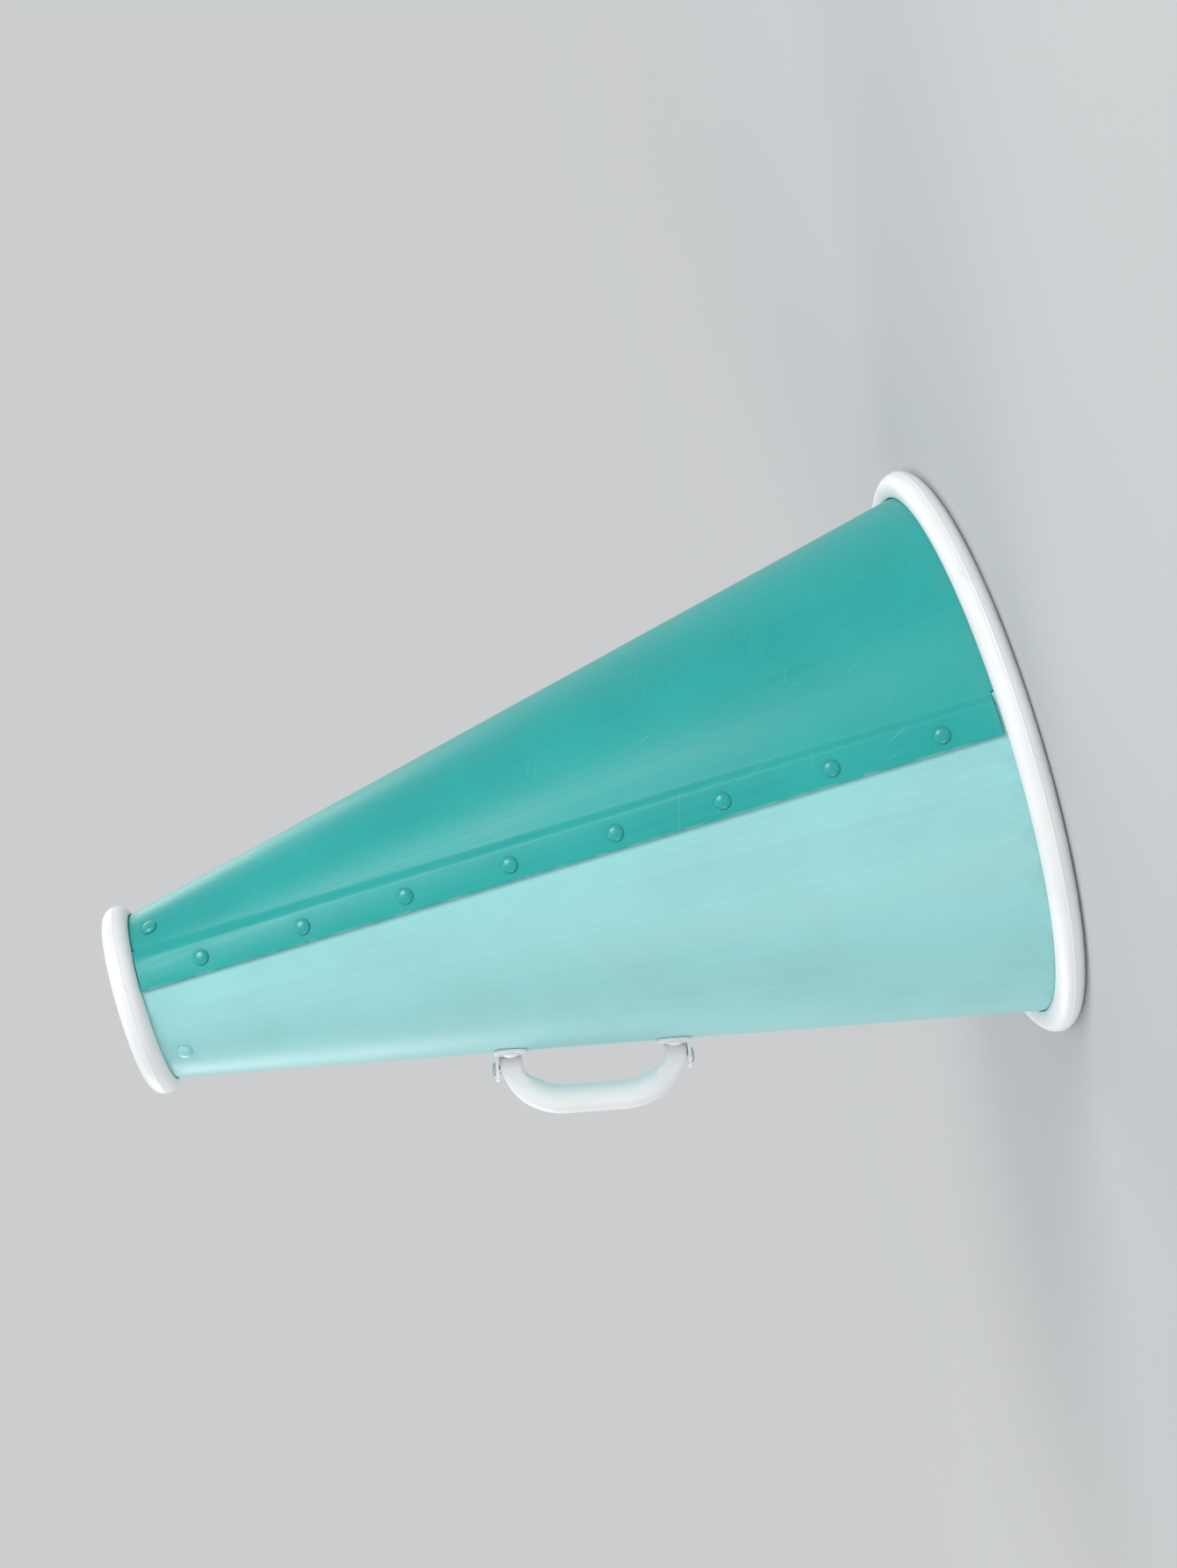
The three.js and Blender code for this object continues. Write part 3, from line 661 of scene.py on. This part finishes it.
def lower_columns():
    """From its edge under the lap at +Y, round the handle's side, to its edge under the lap at -Y."""
    hidden, butt = LAP_END_X - GROOVE_GAP, JOGGLE_END_X - GROOVE_GAP
    middle = []
    for i in range(2 * LOWER_HALF_COLUMNS + 1):
        share = i / LOWER_HALF_COLUMNS - 1
        middle.append(((lambda z, s=share: math.pi + s * (math.pi - angle_at_plane(hidden, z))), 0.0))
    start = [((lambda z: angle_at_plane(butt, z)), 0.0)]
    end = [((lambda z: 2 * math.pi - angle_at_plane(butt, z)), 0.0)]
    return start + middle + end


columns = lower_columns()
add_panel(
    "lower_panel", columns,
    lambda z, j: not LAP_BOTTOM < z < LAP_TOP or 0 < j < len(columns) - 2,
    aqua_sheet, "lower_sheet",
)


# ---------------------------------------------------------------- bell rim, hoop and mouthpiece
class Oval:
    """An oval section, by the angle from its outermost point."""

    def __init__(self, radius, height, across, up):
        self.centre, self.size = (radius, height), (across, up)

    def at(self, angle):
        return (
            self.centre[0] + self.size[0] * math.cos(angle),
            self.centre[1] + self.size[1] * math.sin(angle),
        )

    def off_face(self, angle):
        radius, height = self.at(angle)
        return (radius - cone_radius(height)) * COS

    def meets(self, out, low, high):
        """The angle between low and high at which the oval is out from the cone's face."""
        rising = self.off_face(high) > self.off_face(low)
        for _ in range(50):
            middle = (low + high) / 2
            if (self.off_face(middle) < out) == rising:
                low = middle
            else:
                high = middle
        return low

    def run(self, start, end, steps, ridge=0.0, ridge_height=0.14, ridge_half=0.3):
        """Points from one angle to another, with the mould's parting line standing up at the angle ridge."""
        points = []
        for i in range(steps + 1):
            angle = start + (end - start) * i / steps
            if abs(angle - ridge) * self.size[0] > 2 * ridge_half:
                points.append((angle, self.at(angle)))
        for offset, rise in ((-1.0, 0.0), (-0.5, 0.75), (0.0, 1.0), (0.5, 0.75), (1.0, 0.0)):
            angle = ridge + offset * ridge_half / self.size[0]
            x, y = self.at(angle)
            points.append((angle, (x + math.cos(ridge) * ridge_height * rise, y)))
        points.sort(reverse=end < start)
        return [point for _, point in points]


JOINT_TURN = math.radians(97)  # where the rim trim's two ends meet
JOINT_HALF, JOINT_DEPTH, JOINT_CLEAR = 0.8, 0.045, 1.4
WELD_OFFSET, WELD_SWELL, WELD_REACH = 0.35, 0.10, 2.2
RIM_SIDES, HOOP_SIDES, WIRE_SIDES, LIP_SIDES = 240, 300, 14, 160
RIM_MARGIN, LIP_MARGIN = 1.5, 1.4  # room that the ovals leave for the arcs at their edges
RIM_STEPS, LIP_STEPS = 34, 30


def add_bell_rim():
    inner = cone_radius(BELL_Z) - SHEET / COS - GROOVE_GAP - BELL_RIM_WALL
    across = BELL_RIM_WIDTH / 2
    flat = math.asin(RIM_LAND / BELL_RIM_WIDTH)
    up = BELL_RIM_HEIGHT / (1 + math.cos(flat))
    oval = Oval(inner + across, BELL_RIM_HEIGHT - up, across, up)
    outer_lip = oval.meets(GROOVE_GAP, 0.2, math.pi - 0.2)
    inner_lip = oval.meets(-SHEET - GROOVE_GAP, 0.2, math.pi - 0.2)
    margin = RIM_MARGIN / across
    hoop_radius = inner + across
    pocket = hoop_radius + HOOP_WIRE / 2 + GROOVE_GAP
    pocket_top = BELL_RIM_FLOOR + HOOP_WIRE + 2 * GAP
    outside = oval.run(outer_lip - margin, flat - math.pi / 2, RIM_STEPS)
    inside = oval.run(1.5 * math.pi - flat, inner_lip + margin, RIM_STEPS, ridge=math.pi)
    corners = [
        (*oval.at(outer_lip), 0.8),
        *((*point, 0) for point in outside + inside),
        (*oval.at(inner_lip), 0.8),
        (*face_point(BELL_RIM_FLOOR + 0.5, -SHEET - GROOVE_GAP), 0.4),
        (pocket, BELL_RIM_FLOOR, 0.5),
        (pocket, pocket_top, 0.5),
        (face_point(pocket_top, GROOVE_GAP)[0], pocket_top, 0.4),
    ]
    section = rounded(corners)
    middle = Vector(oval.centre)

    def welded(radius, height, turn):
        """Draws the section in a little at the trim's butt joint."""
        away = abs(turn - JOINT_TURN) * hoop_radius
        depth = JOINT_DEPTH * max(0.0, 1 - (away / JOINT_HALF) ** 2)
        drawn = Vector((radius, height)).lerp(middle, depth)
        return drawn.x, drawn.y

    steps = (-JOINT_HALF, -0.55, -0.3, 0.0, 0.3, 0.55, JOINT_HALF)
    joint = [JOINT_TURN + step / hoop_radius for step in steps]
    sides = sorted([t for t in turns(RIM_SIDES) if abs(t - JOINT_TURN) > JOINT_CLEAR / hoop_radius] + joint)
    points, faces = lathe(section, sides, about_z, welded)
    add_piece("bell_rim", points, faces, ["bell_rim"], rim_vinyl, "rim_plastic")

    hoop_z = BELL_RIM_FLOOR + GAP + HOOP_WIRE / 2
    wire = circle(hoop_radius, hoop_z, HOOP_WIRE / 2, WIRE_SIDES)

    def weld_bead(radius, height, turn):
        """Swells the wire a little where its two ends are welded."""
        away = abs(turn - JOINT_TURN - WELD_OFFSET) * hoop_radius
        swell = 1 + WELD_SWELL * math.exp(-(away / WELD_REACH) ** 2)
        return hoop_radius + (radius - hoop_radius) * swell, hoop_z + (height - hoop_z) * swell

    points, faces = lathe(wire, turns(HOOP_SIDES), about_z, weld_bead)
    add_piece("bell_hoop", points, faces, ["bell_hoop"], zinc, "zinc_steel")


def add_mouthpiece():
    inner = cone_radius(LIP_Z) - SHEET / COS - GAP - LIP_WALL
    across = LIP_WIDTH / 2
    oval = Oval(inner + across, LIP_Z, across, LIP_HEIGHT / 2)
    spigot_face, spigot_back = -SHEET - GAP, -SHEET - GAP - SPIGOT_WALL
    foot = LENGTH - LIP_HEIGHT - SPIGOT_LENGTH
    skirt = oval.meets(GROOVE_GAP, -math.pi / 2, -0.5)
    throat = oval.meets(spigot_back, math.pi, 1.42 * math.pi)
    margin = LIP_MARGIN / across
    around = oval.run(skirt + margin, math.pi / 2, LIP_STEPS)
    around += oval.run(math.pi / 2, throat - 2 * margin, LIP_STEPS, ridge=math.pi, ridge_height=0.0)[1:]
    corners = [
        (*oval.at(skirt), 0.7),
        *((*point, 0) for point in around),
        (*oval.at(throat), 2.2),
        (*face_point(foot, spigot_back), 1.1),
        (*face_point(foot, spigot_face), 0.8),
        (*face_point(SHEET_TOP + GROOVE_GAP, spigot_face), 0.4),
        (*face_point(SHEET_TOP + GROOVE_GAP, GROOVE_GAP), 0.4),
    ]
    points, faces = lathe(rounded(corners), turns(LIP_SIDES), about_z)
    add_piece("mouthpiece", points, faces, ["mouthpiece"], white_moulding, "white_plastic")


add_bell_rim()
add_mouthpiece()


# ---------------------------------------------------------------- rivets and pins
RIVET_SIDES = 28
RIVET_HEAD_HEIGHT = 1.8 + GAP
RIVET_TAIL_HEIGHT = 1.6
TAIL_GAP = 0.35
chance = random.Random(41)


def pin_shape(bottom, top, shank, head, head_height, tail=None, tail_height=0.0):
    """(radius, height) points of a domed pin, from its tail to its head, and the heights of its two ends."""
    if tail:
        points = [
            (0.45 * tail, bottom - tail_height), (0.80 * tail, bottom - 0.93 * tail_height),
            (0.95 * tail, bottom - 0.72 * tail_height), (tail, bottom - 0.40 * tail_height),
            (0.97 * tail, bottom - 0.10 * tail_height), (0.90 * tail, bottom), (shank, bottom),
        ]
    else:
        points = [(shank - 0.6, bottom), (shank, bottom + 0.6)]
    points += [(shank, top), (head - 0.35, top), (head - 0.10, top + 0.08), (head, top + 0.30)]
    for step in range(1, 8):
        turn = math.pi / 2 * step / 8
        points.append((head * math.cos(turn) ** 0.92, top + 0.30 + (head_height - 0.30) * math.sin(turn)))
    return points, (bottom - tail_height, top + head_height)


def add_pin(name, axes, shape, ends, material, slot, lean=0.9):
    """A turned pin along Y of its axes, with a turn of its own and a lean of up to so many degrees."""
    tip = Matrix.Rotation(math.radians(chance.uniform(-lean, lean)), 4, "X")
    tip = tip @ Matrix.Rotation(math.radians(chance.uniform(-lean, lean)), 4, "Z")
    start = chance.uniform(0, math.pi)
    sides = [start + turn for turn in turns(RIVET_SIDES)]
    points, faces = [], []
    count = len(shape)
    for turn in sides:
        points += [(radius * math.cos(turn), height, radius * math.sin(turn)) for radius, height in shape]
    pairs = [(i * count, (i + 1) % RIVET_SIDES * count) for i in range(RIVET_SIDES)]
    for a, b in pairs:
        faces += [(a + k, a + k + 1, b + k + 1, b + k) for k in range(count - 1)]
    for end, height in ((0, ends[0]), (count - 1, ends[1])):
        centre = len(points)
        points.append((0, height, 0))
        faces += [(a + end, b + end, centre) for a, b in pairs]
    add_piece(name, points, faces, [name], material, slot, matrix=axes @ tip)


def add_rivets(rivets, bottom, top, finish_of):
    for name, (z, angle) in rivets.items():
        shape, ends = pin_shape(
            bottom - TAIL_GAP, top, RIVET_RADIUS, HEAD_RADIUS, RIVET_HEAD_HEIGHT,
            RIVET_TAIL_RADIUS, RIVET_TAIL_HEIGHT,
        )
        material, slot = finish_of(angle)
        add_pin(name, cone_frame(z, angle), shape, ends, material, slot)


def by_panel(angle):
    return (teal_enamel, "upper_rivet") if math.cos(angle) > 0 else (aqua_enamel, "lower_rivet")


def on_lap(angle):
    return teal_enamel, "upper_rivet"


def on_bracket(angle):
    return white_enamel, "white_paint"


add_rivets(seam_rivets, -SHEET - DIMPLE, LAP_LIFT - DIMPLE, on_lap)
add_rivets(mouth_rivets, -SHEET - GAP - SPIGOT_WALL, -DIMPLE, by_panel)


# ---------------------------------------------------------------- brackets, backing plates and hinge pins
BRACKET_LIFT = 0.12
PIN_GAP = 0.05
PIN_HEAD_HEIGHT = 1.6 + 0.25
BEND_INSIDE = 1.2
EAR_NOTCH = 1.5
NOTCH_DEPTH = 3.9
EDGE_ROUND, BACKING_EDGE_ROUND = 0.45, 0.35
NOTCH_CORNER, NOTCH_ROUND = 0.6, 0.7
PLATE_HOLE_RADIUS = RIVET_RADIUS + GAP
EDGE_RINGS = 3
BRACKET_STEP, BACKING_STEP = 0.8, 1.6
bend_radius = BEND_INSIDE + BRACKET_SHEET / 2
bend_start = EAR_INNER + BRACKET_SHEET / 2 - bend_radius
bend_length = bend_radius * math.pi / 2
plate_middle = BRACKET_LIFT + BRACKET_SHEET / 2
ear_centre = bend_start + bend_length + HINGE_HEIGHT - plate_middle - bend_radius


SLIVER = 0.00002  # twice the area below which a triangle has its corners in a line, in square millimetres


def thin_plate(outline, holes, step, thick, edge, place):
    """A flat blank with rounded edges and holes, meshed at a step, where place(u, v, h) gives each point."""
    def in_plate(point):
        return inside(point, outline) and not any(inside(point, hole) for hole in holes)

    insets = [edge * (1 - math.cos(math.pi / 2 * k / EDGE_RINGS)) for k in range(EDGE_RINGS + 1)]
    flat, edges, fixed = [], [], []
    for loop, sign in [(outline, 1), *((hole, -1) for hole in holes)]:
        loop = divided(loop, step)
        sign *= math.copysign(1, sum(a.cross(b) for a, b in zip(loop, loop[1:] + loop[:1])))
        along = [((b - a).normalized() + (c - b).normalized()).normalized()
                 for a, b, c in zip(loop[-1:] + loop[:-1], loop, loop[1:] + loop[:1])]
        for inset in insets:
            start = len(flat)
            flat += [point + Vector((-way.y, way.x)) * (sign * inset) for point, way in zip(loop, along)]
            fixed += [inset] * len(loop)
            edges += [(start + i, start + (i + 1) % len(loop)) for i in range(len(loop))]
    boundary = [(a, b) for a, b in edges if fixed[a] == 0.0]
    spots = [point for point, inset in zip(flat, fixed) if inset == 0.0]
    low = Vector((min(p.x for p in spots), min(p.y for p in spots)))
    high = Vector((max(p.x for p in spots), max(p.y for p in spots)))
    for i in range(int((high.x - low.x) / step) + 1):
        for j in range(int((high.y - low.y) / step) + 1):
            spot = low + Vector(((i + 0.5 * (j % 2)) * step, j * step))
            nearest = min((spot - p).length for p in spots)
            if nearest > edge + 0.45 * step and in_plate(spot):
                flat.append(spot)
                fixed.append(edge)
    made = geometry.delaunay_2d_cdt(flat, edges, [], 0, 1e-5)
    verts, triangles, origins = made[0], made[2], made[3]
    depth = [fixed[origin[0]] if origin else edge for origin in origins]
    kept = []
    for a, b, c in triangles:
        middle = (verts[a] + verts[b] + verts[c]) / 3
        flat_sliver = abs((verts[b] - verts[a]).cross(verts[c] - verts[a])) < SLIVER
        if not flat_sliver and in_plate(middle):
            kept.append((a, b, c))
    points = []
    for side in (1, -1):
        for vert, inset in zip(verts, depth):
            height = thick / 2 - edge + math.sqrt(max(0.0, edge ** 2 - (edge - min(inset, edge)) ** 2))
            points.append(place(vert.x, vert.y, side * height))
    count = len(verts)
    faces = kept + [tuple(i + count for i in reversed(t)) for t in kept]
    at = {origin[0]: i for i, origin in enumerate(origins) if origin}
    faces += [(at[a], at[b], at[b] + count, at[a] + count) for a, b in boundary]
    return points, faces


def divided(loop, step):
    """The same outline, with points no more than a step apart along its straight sides."""
    points = []
    for a, b in zip(loop, loop[1:] + loop[:1]):
        a, b = Vector(a), Vector(b)
        count = math.ceil((b - a).length / step)
        points += [a.lerp(b, i / count) for i in range(count)]
    return points


def inside(point, loop):
    """Whether a point lies inside a closed outline."""
    within = False
    for (ax, ay), (bx, by) in zip(loop, loop[1:] + loop[:1]):
        if (ay > point[1]) != (by > point[1]) and point[0] < (bx - ax) * (point[1] - ay) / (by - ay) + ax:
            within = not within
    return within


def on_cone(end, u, v, out):
    """A point of a plate that lies on the cone under the handle: u along, v across and out from the face."""
    z = HANDLE_Z + end * u * COS
    return cone_point(z, math.pi + math.asin(v / face_point(z, out)[0]), out)


handle_frame = cone_frame(HANDLE_Z, math.pi)


def add_bracket(name, end):
    ear_half = BARREL_RADIUS
    notch = ear_half + EAR_NOTCH
    reach = BRACKET_REACH / 2
    floor = EAR_OUTER - NOTCH_DEPTH
    outline = rounded([
        (BRACKET_INNER, -reach, PLATE_CORNER), (EAR_OUTER, -reach, PLATE_CORNER),
        (EAR_OUTER, -notch, NOTCH_CORNER), (floor, -notch, NOTCH_ROUND), (floor, -ear_half, NOTCH_ROUND),
        *((ear_centre + ear_half * math.sin(t), -ear_half * math.cos(t), 0) for t in turns(36)[:19]),
        (floor, ear_half, NOTCH_ROUND), (floor, notch, NOTCH_ROUND), (EAR_OUTER, notch, NOTCH_CORNER),
        (EAR_OUTER, reach, PLATE_CORNER), (BRACKET_INNER, reach, PLATE_CORNER),
    ], steps=7)
    middle = (BRACKET_INNER + EAR_OUTER) / 2
    holes = [circle(middle, sign * BRACKET_RIVET_SPACING / 2, PLATE_HOLE_RADIUS) for sign in (-1, 1)]
    holes.append(circle(ear_centre, 0, PIN_RADIUS + GAP))

    def place(u, v, h):
        if u <= bend_start or abs(v) > ear_half + 0.5:
            return on_cone(end, u, v, plate_middle + h)
        share = min(1.0, (u - bend_start) / bend_length)
        turn = share * math.pi / 2
        rise = max(0.0, u - bend_start - bend_length)
        ring_radius = bend_radius - h
        x = bend_start + ring_radius * math.sin(turn)
        y = plate_middle + bend_radius - ring_radius * math.cos(turn) + rise
        start = handle_frame.inverted() @ on_cone(end, bend_start, v, plate_middle)
        y += (start.y - plate_middle) * (1 - smooth_step(share))
        return handle_frame @ Vector((end * x, y, v))

    points, faces = thin_plate(outline, holes, BRACKET_STEP, BRACKET_SHEET, EDGE_ROUND, place)
    add_piece(
        f"handle_bracket_{name}", points, faces, [f"handle_bracket_{name}"], white_enamel, "white_paint",
    )

    near, far, side = BRACKET_INNER + BACKING_INSET, EAR_OUTER - BACKING_INSET, reach - BACKING_INSET
    backing = rounded(
        [(u, v, PLATE_CORNER) for u, v in ((near, -side), (far, -side), (far, side), (near, side))], steps=7,
    )
    backing_middle = -SHEET - BACKING_LIFT - BACKING_SHEET / 2
    points, faces = thin_plate(
        backing, holes[:2], BACKING_STEP, BACKING_SHEET, BACKING_EDGE_ROUND,
        lambda u, v, h: on_cone(end, u, v, backing_middle + h),
    )
    add_piece(f"backing_plate_{name}", points, faces, [f"backing_plate_{name}"], zinc, "zinc_steel")

    shape, ends = pin_shape(
        BARREL_END - PIN_REACH, EAR_OUTER + PIN_GAP, PIN_RADIUS, HEAD_RADIUS, PIN_HEAD_HEIGHT,
    )
    along = Matrix.Translation((0, HINGE_HEIGHT, 0)) @ Matrix.Rotation(-end * math.pi / 2, 4, "Z")
    add_pin(f"hinge_pin_{name}", handle_frame @ along, shape, ends, zinc, "zinc_steel", lean=0.0)


add_bracket("rear", -1)
add_bracket("front", 1)
add_rivets(bracket_rivets, -SHEET - STACK, BRACKET_LIFT + BRACKET_SHEET - 0.05, on_bracket)


# ---------------------------------------------------------------- handle
def section_points(power):
    """(out, across, on the mould's line) points of a unit section: round at power 2, squarer as it grows."""
    angles = []
    for base in (0.0, math.pi):
        angles += [base + math.radians(a) for a in (0, 1.2, 2.4)]
        angles += [base + math.radians(2.4 + 175.2 * i / 20) for i in range(1, 20)]
        angles += [base + math.radians(a) for a in (177.6, 178.8)]
    result = []
    for i, angle in enumerate(angles):
        c, s = math.cos(angle), math.sin(angle)
        size = (abs(c) ** power + abs(s) ** power) ** (-1 / power)
        result.append((c * size, s * size, i % (len(angles) // 2) == 0))
    return result


BORE_SIDES = 32


def drill(piece, place, radius, depth):
    """Cuts a round hole out of a piece's mesh, centred on a place and along that place's Z."""
    bm = bmesh.new()
    matrix = Matrix.Scale(MM, 4) @ place
    bmesh.ops.create_cone(
        bm, cap_ends=True, segments=BORE_SIDES, radius1=radius, radius2=radius, depth=depth, matrix=matrix,
    )
    mesh = bpy.data.meshes.new("drill")
    bm.to_mesh(mesh)
    bm.free()
    cutter = bpy.data.objects.new("drill", mesh)
    bpy.context.scene.collection.objects.link(cutter)
    cut = piece.modifiers.new("bore", "BOOLEAN")
    cut.operation, cut.solver, cut.object = "DIFFERENCE", "EXACT", cutter
    bpy.context.view_layer.update()
    drilled = bpy.data.meshes.new_from_object(piece.evaluated_get(bpy.context.evaluated_depsgraph_get()))
    piece.modifiers.remove(cut)
    bm = bmesh.new()
    bm.from_mesh(drilled)
    bmesh.ops.dissolve_degenerate(bm, dist=0.002 * MM, edges=bm.edges)
    bm.to_mesh(drilled)
    bm.free()
    piece.data = drilled
    bpy.data.objects.remove(cutter)


# What a leg does between its barrel and the grip: the powers of its section, and the heights over which it
# turns with the bend, thickens and goes round
SQUARE, ROUND = 7.0, 2.0
TURN_RISE, THICK_RISE, ROUND_RISE = 16.0, 8.0, 12.0
BARREL_STEPS, BEND_STEPS, GRIP_STEPS = 10, 26, 8
MOULD_LINE = 0.13


def add_handle():
    stations = []
    for step in range(BARREL_STEPS + 1):
        turn = math.pi / 2 * step / BARREL_STEPS
        y = HINGE_HEIGHT - BARREL_RADIUS * math.cos(turn)
        half = max(0.6, BARREL_RADIUS * math.sin(turn))
        stations.append((LEG_X, y, 0.0, BARREL_LENGTH / 2, half, SQUARE, 0.0))
    first = math.asin((HINGE_HEIGHT - BEND_Y) / CORNER_RADIUS)
    for step in range(1, BEND_STEPS + 1):
        turn = first + (math.pi / 2 - first) * step / BEND_STEPS
        x, y = BEND_X + CORNER_RADIUS * math.cos(turn), BEND_Y + CORNER_RADIUS * math.sin(turn)
        above = y - HINGE_HEIGHT
        ease = smooth_step(above / TURN_RISE)
        wide = BARREL_LENGTH / 2 + (GRIP_RADIUS - BARREL_LENGTH / 2) * ease
        thicker = smooth_step((above - TANG_HEIGHT) / THICK_RISE)
        thick = BARREL_RADIUS + (GRIP_RADIUS - BARREL_RADIUS) * thicker
        power = SQUARE + (ROUND - SQUARE) * smooth_step(above / ROUND_RISE)
        stations.append((x, y, turn * ease, wide, thick, power, ease))
    for step in range(1, GRIP_STEPS + 1):
        x = BEND_X * (1 - step / GRIP_STEPS)
        stations.append((x, GRIP_HEIGHT, math.pi / 2, GRIP_RADIUS, GRIP_RADIUS, ROUND, 1.0))
    rings = []
    for x, y, normal, wide, thick, power, line in stations:
        ring = []
        for out, across, on_line in section_points(power):
            reach = wide * out + (math.copysign(MOULD_LINE, out) * line if on_line else 0.0)
            px, py = x + reach * math.cos(normal), y + reach * math.sin(normal)
            ring.append((min(px, BARREL_END), py, across * thick))
        rings.append(ring)
    rings += [[(-px, py, pz) for px, py, pz in ring] for ring in reversed(rings[:-1])]
    count = len(rings[0])
    points = [point for ring in rings for point in ring]
    faces = [
        (i * count + k, i * count + (k + 1) % count, (i + 1) * count + (k + 1) % count, (i + 1) * count + k)
        for i in range(len(rings) - 1) for k in range(count)
    ]
    faces += [tuple(range(count)), tuple(range(len(points) - count, len(points)))]
    handle = add_piece(
        "handle", points, faces, ["handle"], handle_moulding, "white_plastic",
        body="handle", matrix=handle_frame,
    )
    for end in (-1, 1):
        middle = Matrix.Translation((end * (BARREL_END - BORE_DEPTH / 2 + 1), HINGE_HEIGHT, 0))
        place = handle_frame @ middle @ Matrix.Rotation(math.pi / 2, 4, "Y")
        drill(handle, place, PIN_RADIUS + GAP, BORE_DEPTH + 2)


add_handle()
